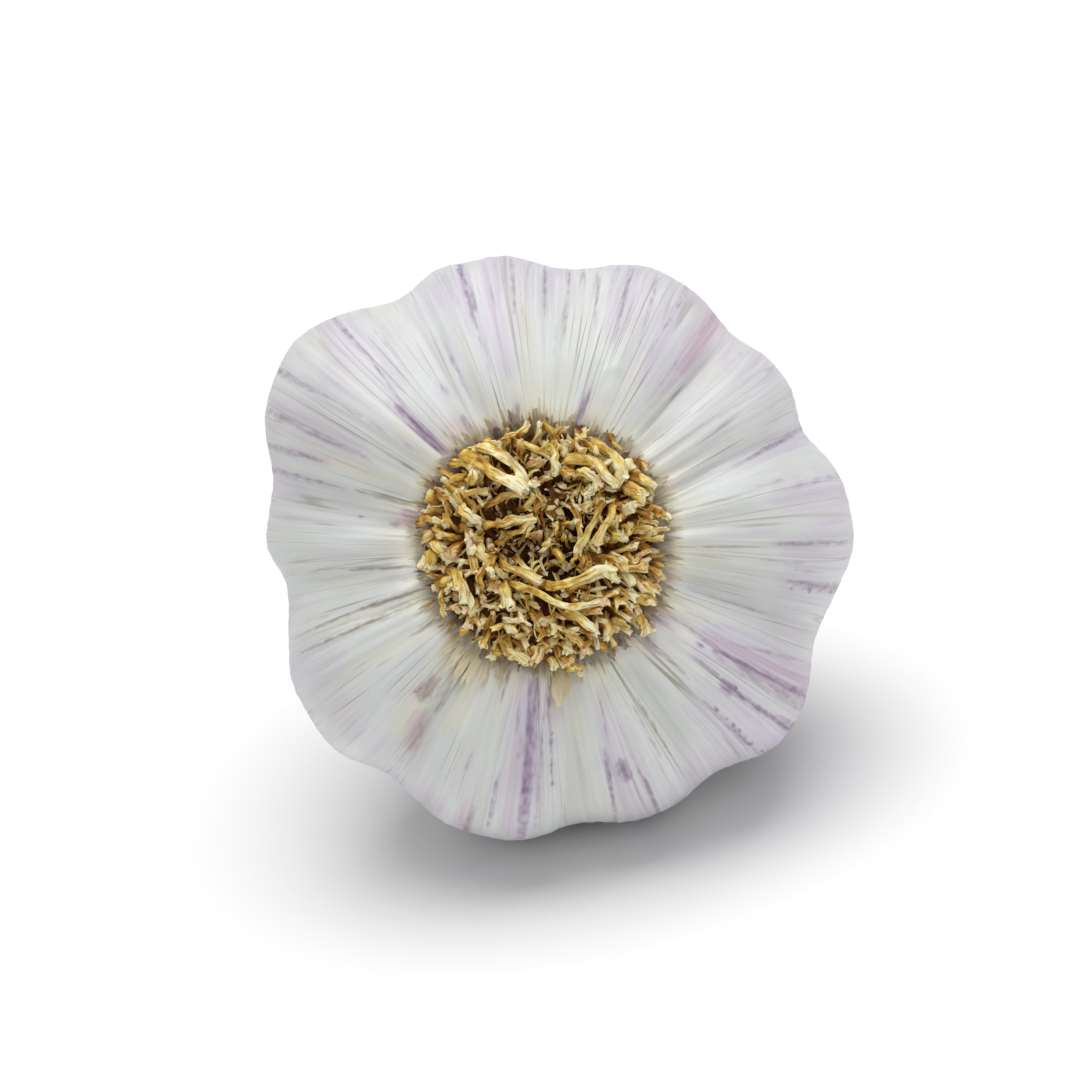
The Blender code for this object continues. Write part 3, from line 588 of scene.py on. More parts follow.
# Marks on the skin in millimetres across the root end: start, end, half-width and strength. Beyond the rim
# the same plane goes on as if the skin were rolled out
skinMarks = {
    "purple": (
        (-7.4, 26.2, -6.8, 23.4, 0.43, 0.56), (-8.5, 29.0, -6.6, 21.5, 0.58, 0.69),
        (-6.8, 22.5, -5.3, 17.5, 0.5, 0.25), (-3.3, 29.2, -2.9, 23.2, 0.43, 0.4),
        (0.2, 28.8, 0.2, 23.0, 0.36, 0.4), (2.7, 28.0, 2.1, 21.0, 0.36, 0.35),
        (9.0, 28.4, 7.0, 20.0, 0.43, 0.42), (5.8, 27.6, 5.1, 22.0, 0.36, 0.3),
        (11.6, 26.8, 9.6, 20.0, 0.43, 0.28), (14.6, 27.0, 12.6, 22.0, 0.72, 0.25),
        (18.4, 24.6, 15.9, 21.4, 0.58, 0.45), (13.6, 18.6, 10.4, 14.0, 0.5, 0.22),
        (27.0, 12.2, 20.5, 8.6, 0.43, 0.65), (28.6, 6.8, 24.0, 5.6, 0.72, 0.25),
        (31.5, 0.3, 23.4, 0.1, 0.43, 0.45), (31.0, -4.6, 24.6, -3.7, 0.9, 0.62),
        (28.2, -16.2, 17.6, -10.7, 0.43, 0.87), (25.0, -15.4, 17.0, -10.8, 1.3, 0.30),
        (26.4, -11.8, 18.6, -9.7, 0.36, 0.42), (26.2, -19.6, 17.6, -13.7, 0.43, 1),
        (19.2, -14.9, 17.9, -13.8, 1.0, 0.70), (26.0, -18.2, 23.4, -17.4, 1.1, 0.50),
        (17.8, -13.2, 15.0, -11.1, 0.3, 0.62), (22.6, -21.9, 16.0, -15.6, 0.43, 0.56),
        (-0.6, -12.6, -2.2, -30.2, 1.08, 0.56), (-1.2, -13.4, -2.1, -30.0, 0.5, 0.9),
        (0.3, -14.2, -0.9, -30.0, 0.36, 0.3), (0.5, -15.2, 1.0, -24.0, 0.3, 0.4),
        (-5.6, -28.6, -4.4, -22.6, 0.43, 0.45), (8.5, -23.8, 7.8, -21.6, 1.1, 0.85),
        (7.5, -28.6, 6.2, -20.6, 0.43, 0.67), (12.0, -27.8, 10.2, -23.4, 0.36, 0.69),
        (12.2, -22.0, 9.0, -16.0, 0.36, 0.3), (6.6, -20.0, 5.6, -15.0, 0.36, 0.25),
        (-27.6, 17.9, -23.0, 15.4, 0.72, 0.4), (-28.6, 9.9, -22.0, 8.4, 0.5, 0.56),
        (-28.4, 7.9, -20.0, 5.6, 0.5, 0.48), (-27.8, 13.4, -17.0, 8.4, 0.72, 0.32),
        (-24.0, 16.4, -12.0, 9.0, 0.43, 0.22), (-14.9, 14.1, -9.6, 9.2, 0.58, 1),
        (-13.4, 12.0, -9.8, 9.0, 0.36, 0.9), (-10.2, 16.2, -9.4, 15.0, 0.5, 0.62),
        (-19.8, 21.4, -16.6, 18.0, 0.5, 0.3), (-17.6, 19.0, -13.0, 12.8, 0.3, 0.3),
        (-26.6, -10.0, -16.0, -5.4, 0.36, 0.25), (4.6, 15.2, 3.2, 12.0, 0.58, 0.62),
        (-2.6, 14.4, -2.6, 11.6, 0.43, 0.45), (-8.4, 13.2, -6.4, 10.6, 0.5, 0.45),
        (12.8, -8.2, 9.8, -6.2, 0.9, 0.55), (11.6, -10.8, 8.6, -7.8, 0.9, 0.50),
        (-14.4, 3.4, -11.4, 2.4, 1.0, 0.42),
    ),
    "lavender": (
        (-5.2, 28.0, -3.6, 17.0, 2.6, 0.55), (13.4, 27.8, 15.8, 24.0, 2.6, 0.75),
        (8.6, 28.0, 7.0, 20.0, 2.4, 0.45), (12.8, 25.0, 9.6, 16.0, 3.0, 0.35),
        (17.6, 22.6, 11.6, 15.4, 2.2, 0.45), (28.0, 12.0, 19.0, 8.0, 2.0, 0.45),
        (31.0, 5.8, 23.0, 4.6, 2.4, 0.60), (31.0, -1.4, 24.0, -1.0, 3.4, 0.42),
        (28.5, -14.4, 15.8, -9.4, 3.2, 0.95), (26.0, -21.0, 15.6, -13.6, 3.0, 0.60),
        (22.0, -23.0, 14.0, -15.0, 2.4, 0.35), (-0.8, -12.6, -2.6, -30.2, 2.8, 0.85),
        (8.8, -25.6, 7.0, -17.0, 2.4, 0.60), (7.0, -21.0, 5.8, -14.0, 1.4, 0.35),
        (-27.4, 18.4, -28.4, 9.0, 4.0, 0.70), (-27.0, 14.0, -18.0, 9.6, 2.4, 0.45),
        (-28.2, 9.0, -24.0, 5.0, 2.6, 0.55), (-22.0, 21.0, -14.0, 16.0, 2.6, 0.40),
        (-27.6, -6.0, -24.0, -5.6, 2.0, 0.25), (-25.0, -14.0, -20.0, -10.0, 3.0, 0.25),
    ),
    "pink": (
        (18.2, 23.4, 13.6, 17.4, 1.7, 0.80), (13.6, 17.6, 10.2, 13.6, 1.8, 0.20),
        (10.4, 26.6, 8.6, 21.0, 1.2, 0.30), (24.0, -12.8, 16.0, -9.0, 1.6, 0.50),
        (-8.4, -28.4, -7.2, -25.6, 1.3, 0.45), (-13.4, -20.8, -12.0, -16.6, 1.4, 0.75),
        (-14.6, 2.8, -11.6, 2.2, 1.2, 0.70), (11.0, 5.6, 13.6, 6.4, 0.8, 0.45),
        (-10.0, 11.8, -7.4, 11.6, 1.4, 0.40),
    ),
    # the thin brown lines are partly painted shadow along the edges of overlapping leaves; the wider brown
    # marks are stains
    "brown": (
        (-7.7, -27.8, -7.1, -26.4, 0.8, 0.85), (-13.1, -20.6, -12.2, -17.6, 0.9, 0.30),
        (-12.5, -15.6, -10.6, -13.4, 1.7, 0.80), (-11.0, -17.2, -9.4, -14.2, 0.7, 0.40),
        (-19.0, 5.6, -12.2, 3.8, 0.4, 0.80), (-15.2, 2.2, -14.2, 2.0, 0.5, 0.80),
        (-18.6, 2.9, -17.9, 2.8, 0.3, 0.60), (-20.4, -2.5, -12.2, -2.1, 0.4, 0.90),
        (-18.4, -6.5, -10.8, -3.9, 0.45, 0.95), (-24.6, -10.9, -12.4, -5.6, 0.35, 0.85),
        (-19.6, -8.6, -13.0, -5.8, 0.9, 0.30), (-12.5, -6.9, -11.0, -6.1, 0.45, 0.90),
        (-14.1, -3.6, -13.4, -3.4, 0.5, 0.70), (-13.2, -9.0, -8.4, -6.0, 0.6, 0.55),
        (-8.0, -12.8, -6.4, -10.6, 0.5, 0.75), (-10.2, 11.4, -7.0, 9.6, 0.5, 0.60),
        (-4.2, -15.6, -3.2, -12.0, 0.3, 0.60), (-16.0, 9.4, -11.0, 6.2, 0.3, 0.50),
        (12.4, 3.2, 20.0, 5.0, 0.25, 0.45), (12.4, -0.2, 22.0, -0.2, 0.2, 0.40),
        (9.6, 9.0, 15.0, 13.6, 0.25, 0.45), (19.8, -11.9, 12.4, -6.8, 0.35, 0.60),
        (14.8, -13.5, 10.8, -9.7, 0.35, 0.65), (12.9, -21.2, 9.2, -15.0, 0.3, 0.50),
    ),
    "tan": (
        (-23.0, 8.8, -14.0, 6.0, 0.9, 0.75), (-15.6, 6.6, -12.0, 4.8, 0.8, 0.60),
        (-22.0, -4.6, -11.5, -3.0, 1.0, 0.60), (-24.0, -9.0, -11.5, -5.2, 1.2, 0.45),
        (-20.0, -13.0, -10.0, -8.0, 1.2, 0.55), (-15.4, -19.4, -8.2, -10.4, 1.8, 0.85),
        (-10.0, -19.0, -5.6, -11.4, 1.5, 0.90), (-4.6, -18.0, -3.4, -12.0, 1.0, 0.60),
        (3.6, -19.6, 2.4, -12.2, 1.3, 0.75), (-2.0, 25.0, -1.2, 13.6, 0.8, 0.50),
        (-8.6, 22.0, -6.0, 13.0, 0.8, 0.30), (21.0, -0.7, 13.0, -0.4, 0.7, 0.45),
        (10.0, 19.0, 7.6, 13.6, 1.0, 0.45), (18.0, 13.0, 12.0, 9.0, 0.8, 0.35),
        (18.0, -15.6, 10.6, -9.0, 1.0, 0.35), (-15.0, 12.4, -10.6, 8.6, 1.0, 0.55),
    ),
}
# Rows of small dark dots along a line: start, end and how many
skinDots = (
    (-0.9, -16.2, -2.0, -26.8, 13), (-1.3, -19.0, -2.4, -29.0, 8),
    (0.5, -15.2, 1.0, -24.0, 9), (18.0, -13.6, 26.4, -19.6, 15),
    (17.4, -16.6, 23.4, -22.0, 9), (16.0, -10.0, 27.0, -15.4, 12),
    (-14.6, 13.8, -10.4, 9.8, 9), (8.6, -22.8, 7.6, -21.4, 6),
    (-12.8, -14.8, -10.6, -13.0, 6), (25.0, -4.4, 30.0, -4.8, 7),
)
markSpread = {
    # a wide mark that starts between the first two runs on over the rim, by the next two
    "rim": (26.5, 34.0),
    "runOn": (5.0, 13.0),
    "wide": 0.45,
    "endsAt": 2.5,  # half-widths
    "sharpness": {"purple": 3.4, "brown": 3.4, "lavender": 2.0, "pink": 2.0, "tan": 2.0},
    "narrowest": 0.4,
    "weakest": 0.35,
    "halo": 0.45,
    "haloSharpness": 0.45,
    "lavenderWidth": 1.6,
    "dotShift": 0.12,
    "dotLength": 0.05,
    "dotWidth": (0.26, 0.44),
    "dotStrength": (0.3, 1.2),
    # faint streaks all over, then the stronger ones of the side that the root end hides
    "scattered": (
        {
            "count": 150,
            "near": (14.0, 28.0),
            "length": (2.5, 9.0),
            "kinds": ("purple", "lavender", "tan", "brown"),
            "shares": (0.24, 0.40, 0.26, 0.10),
            "purpleWidth": (0.25, 0.6),
            "width": (0.25, 0.6),
            "strength": (0.08, 0.24),
        },
        {
            "count": 170,
            "near": (33.0, 62.0),
            "length": (6.0, 26.0),
            "kinds": ("purple", "lavender", "pink", "tan"),
            "shares": (0.42, 0.34, 0.08, 0.16),
            "purpleWidth": (0.5, 1.2),
            "width": (1.2, 3.0),
            "strength": (0.3, 0.75),
        },
    ),
}


# The dots, spread evenly along their lines with small shifts, and the streaks placed at random, each
# pointing to the middle of the plate
def scatteredMarks(draws):
    spec = markSpread
    rows = []
    for x0, y0, x1, y1, count in skinDots:
        share = (np.arange(count) + draws.uniform(-0.3, 0.3, count)) / (count - 1)
        x = x0 + (x1 - x0) * share + draws.uniform(-spec["dotShift"], spec["dotShift"], count)
        y = y0 + (y1 - y0) * share + draws.uniform(-spec["dotShift"], spec["dotShift"], count)
        width, strength = draws.uniform(*spec["dotWidth"], count), draws.uniform(*spec["dotStrength"], count)
        endX, endY = x + spec["dotLength"] * (x1 - x0), y + spec["dotLength"] * (y1 - y0)
        rows += [("purple", *row) for row in zip(x, y, endX, endY, width, strength)]
    for group in spec["scattered"]:
        for _ in range(group["count"]):
            direction = math.radians(draws.uniform(0.0, 360.0))
            near = draws.uniform(*group["near"])
            far = near + draws.uniform(*group["length"])
            kind = draws.choice(group["kinds"], p=group["shares"])
            width = draws.uniform(*group["purpleWidth" if kind == "purple" else "width"])
            strength = draws.uniform(*group["strength"])
            width = width * (spec["lavenderWidth"] if kind == "lavender" else 1.0)
            x, y = math.cos(direction), math.sin(direction)
            rows.append((kind, far * x, far * y, near * x, near * y, width, strength))
    return rows


# Strength of every kind of mark at places of the plane: it falls off as exp(-sharpness x d^2) with distance
# d in half-widths, and each mark narrows and weakens towards both ends. A purple mark has a wider lavender
# halo, which falls off the same way but less sharply
def markStrengths(flat, draws):
    spec = markSpread
    strengths = {kind: np.zeros(flat.shape[:-1]) for kind in skinMarks}
    reach = np.hypot(flat[..., 0], flat[..., 1])
    rows = [(kind, *row) for kind, table in skinMarks.items() for row in table] + scatteredMarks(draws)
    for kind, x0, y0, x1, y1, width, strength in rows:
        start, end = np.array([x0, y0]), np.array([x1, y1])
        if spec["rim"][0] < np.hypot(*start) < spec["rim"][1] and width > spec["wide"]:
            start = start * (1.0 + draws.uniform(*spec["runOn"]) / np.hypot(*start))
        line = end - start
        ends = np.hypot(*start), np.hypot(*end)
        margin = spec["endsAt"] * width
        close = (reach < max(ends) + margin) & (reach > min(ends) - margin)
        offset = flat[close] - start
        share = np.clip((offset @ line) / (line @ line), 0.0, 1.0)
        away = np.hypot(*(offset - share[:, None] * line).T) / width
        taper = np.clip(4.0 * share * (1.0 - share), 0.0, 1.0) ** 0.4
        narrowed = away / (spec["narrowest"] + (1.0 - spec["narrowest"]) * taper)
        cover = strength * np.exp(-spec["sharpness"][kind] * narrowed**2)
        cover = cover * (spec["weakest"] + (1.0 - spec["weakest"]) * taper)
        strengths[kind][close] = np.maximum(strengths[kind][close], cover)
        if kind == "purple":
            halo = spec["halo"] * strength * np.exp(-spec["haloSharpness"] * away**2)
            strengths["lavender"][close] = np.maximum(strengths["lavender"][close], halo)
    return strengths


# Where each place of the skin lies on the rolled-out plane, in millimetres: its own distance from the
# bulb's axis up to the widest place, and the widest distance plus the run from there beyond it
def flatPlaces(points, directions, runs):
    projected = np.hypot(points[..., 0], points[..., 2])
    rim = projected[int(np.argmin(np.abs(runs[:, 0] - widestRun)))][None, :]
    reach = np.where(runs < widestRun, projected, rim + runs - widestRun) / millimetre
    angle = np.radians(directions)
    return np.stack([reach * np.cos(angle), reach * np.sin(angle)], axis=-1)


skinTone = {
    # how many times round at most, and shortest run, of each mottling
    "veilMottle": (9, 0.012),
    "warmMottle": (40, 0.012),
    "creamMottle": (30, 0.020),
    "veinMottle": (24, 0.010),
    "coolMottle": (7, 0.020),
    # strengths, and the distances from the axis in millimetres between which they change
    "veil": 0.30,
    "veilStart": (20.0, 30.0),
    "warmEnd": (11.5, 19.5),
    "cream": 0.13,
    "veinLeast": 0.08,
    "veinFade": (19.0, 30.0),
    # painted light on the skin next to the plate, offsetting the tuft's shadow, fades out between these
    # distances
    "paintedLightEnd": (12.8, 15.8),
}


# Two colour attributes: the purple, pink, brown and lavender marks; and warmth, vein strength, coolness and
# shade, which is 0.5 on plain skin, 1 deep in a crease (painted shade) and 0 where painted light brightens
# the skin next to the plate, against the shadow that the tuft casts there
def skinTones(points, directions, runs, paintedCreaseShade, draws):
    spec = skinTone

    def mottled(middle, spread, kind, low=0.0):
        return np.clip(middle + spread * mottle(draws, directions, runs, *spec[kind]), low, 1.0)

    flat = flatPlaces(points, directions, runs)
    strengths = markStrengths(flat, draws)
    reach = np.hypot(flat[..., 0], flat[..., 1])
    veil = mottled(0.5, 0.5, "veilMottle")
    lavender = np.maximum(strengths["lavender"], spec["veil"] * softStep(*spec["veilStart"], reach) * veil)
    warmth = (1.0 - softStep(*spec["warmEnd"], reach)) * mottled(0.6, 0.3, "warmMottle")
    warmth = warmth + spec["cream"] * mottled(0.0, 1.0, "creamMottle")
    warmth = np.maximum(warmth, strengths["tan"])
    veinShow = mottled(0.55, 0.35, "veinMottle", spec["veinLeast"])
    veinShow = veinShow * (1.1 - 0.5 * softStep(*spec["veinFade"], reach))
    cool = mottled(0.5, 0.4, "coolMottle")
    # painted shade deep in the creases, and painted light on the ring next to the plate that the tuft shades
    shade = np.clip(paintedCreaseShade, 0.0, 1.0) - 1.0 + softStep(*spec["paintedLightEnd"], reach)
    marks = np.stack([strengths["purple"], strengths["pink"], strengths["brown"], lavender], axis=-1)
    return marks, np.stack([warmth, veinShow, cool, 0.5 + 0.5 * shade], axis=-1)


# The grain's place: (cos, sin) of its direction, so that it has no seam, and run / radius of the bulb
def grainPlaces(directions, runs):
    angle = np.radians(grainDirections(directions, runs))
    return np.stack([np.cos(angle), np.sin(angle), runs / bulbShape["meanReach"] + 0.0 * angle], axis=-1)


# The skin: rows of places at given runs, close together where the relief is fine, each placed by skinPoints
def makeSkin():
    spec = skin
    directions = np.arange(spec["columns"]) * 360.0 / spec["columns"]
    seat = np.linspace(0.0, spec["denseFrom"], spec["seatRows"], endpoint=False)
    dense = np.linspace(spec["denseFrom"], spec["denseTo"], spec["rootRows"], endpoint=False)
    sparse = np.linspace(spec["denseTo"], wholeRun, spec["neckRows"])
    runs = np.concatenate([seat, dense, sparse])[:, None] + np.zeros(spec["columns"])
    directions = directions[None, :] + np.zeros_like(runs)
    lift, paintedCreaseShade = skinRelief(directions, runs)
    radius = np.interp(runs, meridianRun, meridian[:, 1])
    mottled = softStep(*spec["mottleStart"], radius) * mottle(skinDraws, directions, runs, 16, 0.016)
    points = skinPoints(directions, runs, lift + spec["mottleHeight"] * mottled)
    ragged = np.clip(readProfile(roundProfile(skinDraws, 4, 60), directions), *spec["tipRaggedLimits"])
    nearTip = softStep(wholeRun - spec["tipRaggedRun"], wholeRun, runs)
    points[..., 1] += spec["tipRagged"] * nearTip * ragged
    marks, tones = skinTones(points, directions, runs, paintedCreaseShade, skinDraws)
    grain = grainPlaces(directions, runs)
    # The edge at the neck folds in and goes down inside, so that the skin ends in a thin wall
    edge = points[-1]
    outward = unit((edge - edge.mean(axis=0)) * [1.0, 0.0, 1.0])
    inside = []
    for depth, walls in spec["tipRows"]:
        inside.append(edge - outward * spec["tipWall"] * walls - [0.0, depth, 0.0])
    grid = np.concatenate([points, np.stack(inside)])
    startPole = np.array([0.0, bulbShape["meridian"][0][0], 0.0])
    points, quads, triangles = closedTube(grid, startPole, grid[-1].mean(axis=0))
    attributes = {}
    for label, values in (("marks", marks), ("tones", tones), ("grain", grain)):
        values = np.concatenate([values, np.repeat(values[-1:], len(inside), axis=0)])
        values = values.reshape(-1, values.shape[-1])
        attributes[label] = np.vstack([values, 0.0 * values[:1], values[-1:]])
    return meshPiece("paperySkin", laidDown(points), quads, triangles, attributes, turned=True)


# Colours and shares of the papery skin's material
skinLook = {
    "pearl": [(0.34, (0.70, 0.702, 0.695)), (0.64, (0.785, 0.787, 0.783))],
    "cool": ((0.965, 0.98, 1.0, 1.0), (0.955, 0.985, 0.965, 1.0)),
    "silk": [(0.32, (0.955, 0.955, 0.95)), (0.58, (1.0, 1.0, 1.0))],
    "warm": (0.80, 0.75, 0.57, 1.0),
    "warmShare": 0.62,
    "vein": (0.55, 0.52, 0.43, 1.0),
    "strongVeins": (0.022, 1.8),  # width and share
    "faintVeins": (0.035, 0.15),
    # multiplier of the painted light next to the plate (at 0) and the painted shade in the creases (at 1)
    "shade": [(0.0, (1.28, 1.27, 1.24)), (0.5, (1.0, 1.0, 1.0)), (1.0, (0.83, 0.82, 0.80))],
    "lavender": (0.84, 0.71, 0.90, 1.0),
    "pink": (0.86, 0.64, 0.72, 1.0),
    "purple": (0.24, 0.155, 0.275, 1.0),
    "purpleShare": 0.97,
    # brown of the stains, and of the thin lines of painted shadow along leaf edges
    "brown": (0.25, 0.19, 0.145, 1.0),
    "brownShare": 0.75,
    # softness of each stain
    "softness": {"warm": 0.9, "lavender": 1.1, "pink": 1.0, "purple": 0.85, "brown": 0.65},
    "roughness": (0.42, 0.58),
}


# Papery skin: pearl white with thin olive-grey veins, warm near the plate, tinted lavender, pink, purple
# and brown, with painted shade in the clove creases and painted light on the ring next to the plate that the
# tuft shades; the thin brown lines are partly painted shadow along the edges of overlapping leaves. Tints
# multiply the colour below them; the marks and the warmth cover it by their share
def makeSkinMaterial():
    look, softness = skinLook, skinLook["softness"]
    material, tree, shader = newMaterial("papery skin")
    purple, pink, brown, lavender = readChannels(tree, "marks")
    warmth, veinShow, cool, shade = readChannels(tree, "tones")
    grain = readAttribute(tree, "grain")["Vector"]
    broad = fibres(tree, grain, 12.0, 2.0)
    coarse = fibres(tree, grain, 16.0, 0.40, 1.0)
    fine = fibres(tree, grain, 60.0, 1.7)
    finest = fibres(tree, grain, 170.0, 9.0, 2.0)
    specks = fibres(tree, grain, 44.0, 22.0, 1.0)

    def tinted(under, over, share=1.0):
        return blendColour(tree, share, under, over, "MULTIPLY")

    colour = tinted(rampNode(tree, broad, look["pearl"]), blendColour(tree, cool, *look["cool"]))
    colour = tinted(colour, rampNode(tree, fine, look["silk"]))
    cover = timesNode(tree, stain(tree, warmth, fine, softness["warm"]), look["warmShare"])
    colour = blendColour(tree, cover, colour, look["warm"])
    strongWidth, strongShare = look["strongVeins"]
    faintWidth, faintShare = look["faintVeins"]
    strongShare = timesNode(tree, broad, strongShare)
    strong = timesNode(tree, veins(tree, coarse, strongWidth), strongShare, clamp=True)
    faint = timesNode(tree, veins(tree, fine, faintWidth), faintShare)
    lines = timesNode(tree, mathNode(tree, "MAXIMUM", strong, faint), veinShow)
    colour = tinted(colour, look["vein"], lines)
    # painted light next to the plate and painted shade in the creases
    colour = tinted(colour, rampNode(tree, shade, look["shade"]))
    colour = tinted(colour, look["lavender"], stain(tree, lavender, fine, softness["lavender"]))
    colour = tinted(colour, look["pink"], stain(tree, pink, fine, softness["pink"]))
    streaked = mathNode(tree, "ADD", timesNode(tree, specks, 0.7), timesNode(tree, fine, 0.3))
    cover = timesNode(tree, stain(tree, purple, streaked, softness["purple"]), look["purpleShare"])
    colour = blendColour(tree, cover, colour, look["purple"])
    # brown marks: stains, and in the thin lines partly painted shadow along leaf edges
    cover = timesNode(tree, stain(tree, brown, streaked, softness["brown"]), look["brownShare"])
    colour = blendColour(tree, cover, colour, look["brown"])
    height = mathNode(tree, "ADD", fine, timesNode(tree, finest, 0.6))
    height = mathNode(tree, "SUBTRACT", height, timesNode(tree, lines, 0.7))
    roughness = mapNode(tree, fine, *fibreRange, *look["roughness"])
    setSurface(tree, shader, colour, roughness, height, 0.4, 0.0001)
    setScatter(shader, 0.18, 0.0016, 0.42)
    shader.inputs["Subsurface Radius"].default_value = (1.0, 0.85, 0.75)
    return material


# The basal plate: a lumpy disc with a raised ring and a hollow middle, in the seat of the skin
plate = {
    # place along the bulb and radius, from the back of the disc round to its middle
    "profile": (
        (0.0022, 0.0100), (0.0008, 0.0105),
        (-0.0006, 0.0105), (-0.0015, 0.0096),
        (-0.0019, 0.0076), (-0.0012, 0.0050),
        (0.0000, 0.0026), (0.0004, 0.0010),
    ),
    "rows": 60,
    "columns": 180,
    "lump": 0.00025,
    "lumpMottle": (40, 0.0016, 40),
    "lumpStart": 0.0015,
    "tint": -0.20,
    "rust": 0.6,
    "grain": 0.0012,
    "seed": 41,
}


# The profile turned round the bulb's axis, moved along it by lump x mottling
def makePlate():
    spec = plate
    draws = np.random.default_rng(spec["seed"])
    line = smoothLine(spec["profile"], spec["rows"])
    angle = np.arange(spec["columns"]) * 2 * math.pi / spec["columns"]
    radius = line[:, 1][:, None] + 0.0 * angle
    spread = np.degrees(angle)[None, :] + 0.0 * radius
    shown = softStep(0.0, spec["lumpStart"], -line[:, 0] + spec["lumpStart"])[:, None]
    along = line[:, 0][:, None] + spec["lump"] * mottle(draws, spread, radius, *spec["lumpMottle"]) * shown
    grid = np.stack([radius * np.cos(angle), along, radius * np.sin(angle)], axis=-1)
    poles = [(0.0, spec["profile"][end][0], 0.0) for end in (0, -1)]
    points, quads, triangles = closedTube(grid, *poles)
    tone = np.tile([0.0, spec["tint"], 0.0, spec["rust"]], (len(points), 1))
    attributes = {"rootTone": tone, "grain": points / spec["grain"]}
    return meshPiece("basalPlate", laidDown(points), quads, triangles, attributes)


# What all the roots share: the waves that crumple them, and deep gaps between the strands
tuft = {
    "crumple": 0.00007,
    "waveLength": (1.0, 3.0),  # share of the shortest wave
    "shortest": 0.0014,
    "waves": 18,
    "seed": 59,
    # place and half-width in millimetres
    "gaps": (
        (-4.9, 3.5, 1.1), (-3.4, 3.6, 1.2),
        (-4.3, 5.7, 0.9), (-2.8, 5.6, 0.7),
        (-5.6, 1.2, 0.9), (-4.0, 0.9, 0.8),
        (-2.6, 0.4, 0.8), (-3.6, -0.6, 0.7),
        (-2.3, 6.8, 0.6), (1.0, 6.6, 0.8),
        (2.4, 6.5, 0.6), (2.2, -2.7, 1.0),
        (0.9, -2.6, 0.8), (4.3, 2.0, 0.8),
        (2.7, 1.4, 0.6), (8.2, 4.5, 0.7),
        (-2.2, -1.2, 0.9), (-6.2, -4.6, 0.7),
        (5.2, 6.9, 0.6), (-8.0, 6.4, 0.6),
    ),
}


# exp(-d^4), with distance d from the nearest gap in half-widths: 1 in a gap, easing to 0 outside. Places
# are across the root end in metres
def gapShare(x, y):
    share = 0.0 * x
    for gapX, gapY, half in tuft["gaps"]:
        away = np.hypot(x / millimetre - gapX, y / millimetre - gapY) / half
        share = np.maximum(share, np.exp(-(away**4)))
    return share


# Points moved by the sum of random waves push x sin(place . rate + phase), the same for all roots, so that
# neighbours keep their places
def crumpled(points):
    draws = np.random.default_rng(tuft["seed"])
    total = np.zeros_like(points)
    for _ in range(tuft["waves"]):
        ahead = unit(draws.normal(size=3))
        rate = ahead * 2 * math.pi / (tuft["shortest"] * draws.uniform(*tuft["waveLength"]))
        push = draws.normal(size=3)
        total += push * np.sin(points @ rate + draws.uniform(*anyPhase))[..., None]
    return points + tuft["crumple"] * total / math.sqrt(tuft["waves"] / 4)


# How a root's outline and its torn end vary
rootForm = {
    # furrows round the root: how many, least and greatest depth, and how far they drift along it
    "furrows": ((2, 0.05, 0.16, 1.5), (3, 0.08, 0.22, 2.5), (5, 0.05, 0.18, 3.0)),
    "slowSwell": (0.90, 0.10, 5.0),
    "quickSwell": (0.02, 0.08),
    "quickRate": (10, 24),
    "endFrom": 0.76,
    "endFlare": (-0.25, 0.35),
    "endFlatter": (0.0, 0.3),
    "endTorn": (-0.5, 0.3),
    "lip": 0.6,
    "lipSunk": 0.05,
    "poleSunk": 0.15,
}


# Rings round each path: half x (side cos + flatness x lift sin) of the angle, where half is the half-width
# times swells and furrows, and the angle turns by the twist along the root. The end is flared, flattened and
# torn off unevenly. paths is roots x places x 3; reference is a side direction for each root
def rootRings(paths, reference, width, flatness, twist, sides, draws):
    spec = rootForm
    roots, places = paths.shape[:2]
    width, flatness, twist = (values[:, None, None] for values in (width, flatness, twist))
    ahead = unit(np.gradient(paths, axis=1))
    side = unit(reference[:, None] - ahead * (reference[:, None] * ahead).sum(-1, keepdims=True))
    lift = np.cross(ahead, side)
    share = np.linspace(0.0, 1.0, places)[None, :, None]
    around = (np.arange(sides) * 2 * math.pi / sides)[None, None, :]

    def drawn(low, high):
        return draws.uniform(low, high, (roots, 1, 1))

    furrows = 1.0
    for count, least, most, drift in spec["furrows"]:
        depth = drawn(least, most)
        furrows = furrows + depth * np.cos(count * around + drawn(*anyPhase) + drawn(-drift, drift) * share)
    mean, height, rate = spec["slowSwell"]
    swell = mean + height * np.cos(rate * share + twist)
    depth = drawn(*spec["quickSwell"])
    swell = swell + depth * np.cos(drawn(*spec["quickRate"]) * share + drawn(*anyPhase))
    end = softStep(spec["endFrom"], 1.0, share)
    half = 0.5 * width * swell * furrows * (1.0 + drawn(*spec["endFlare"]) * end)
    angle = around + twist * share
    across = (half * np.cos(angle))[..., None] * side[:, :, None]
    flatter = flatness * (1.0 - drawn(*spec["endFlatter"]) * end)
    up = (half * flatter * np.sin(angle))[..., None] * lift[:, :, None]
    rings = paths[:, :, None] + across + up
    tip = rings[:, -1]
    centre = tip.mean(axis=1, keepdims=True)
    forward = ahead[:, -1, None] * width
    tip = tip + forward * draws.uniform(*spec["endTorn"], (roots, sides, 1))
    rings[:, -1] = tip
    lip = centre + (tip - centre) * spec["lip"] - forward * spec["lipSunk"]
    rings = np.concatenate([rings, lip[:, None]], axis=1)
    return rings, rings[:, 0].mean(axis=1), (centre - forward * spec["poleSunk"])[:, 0]


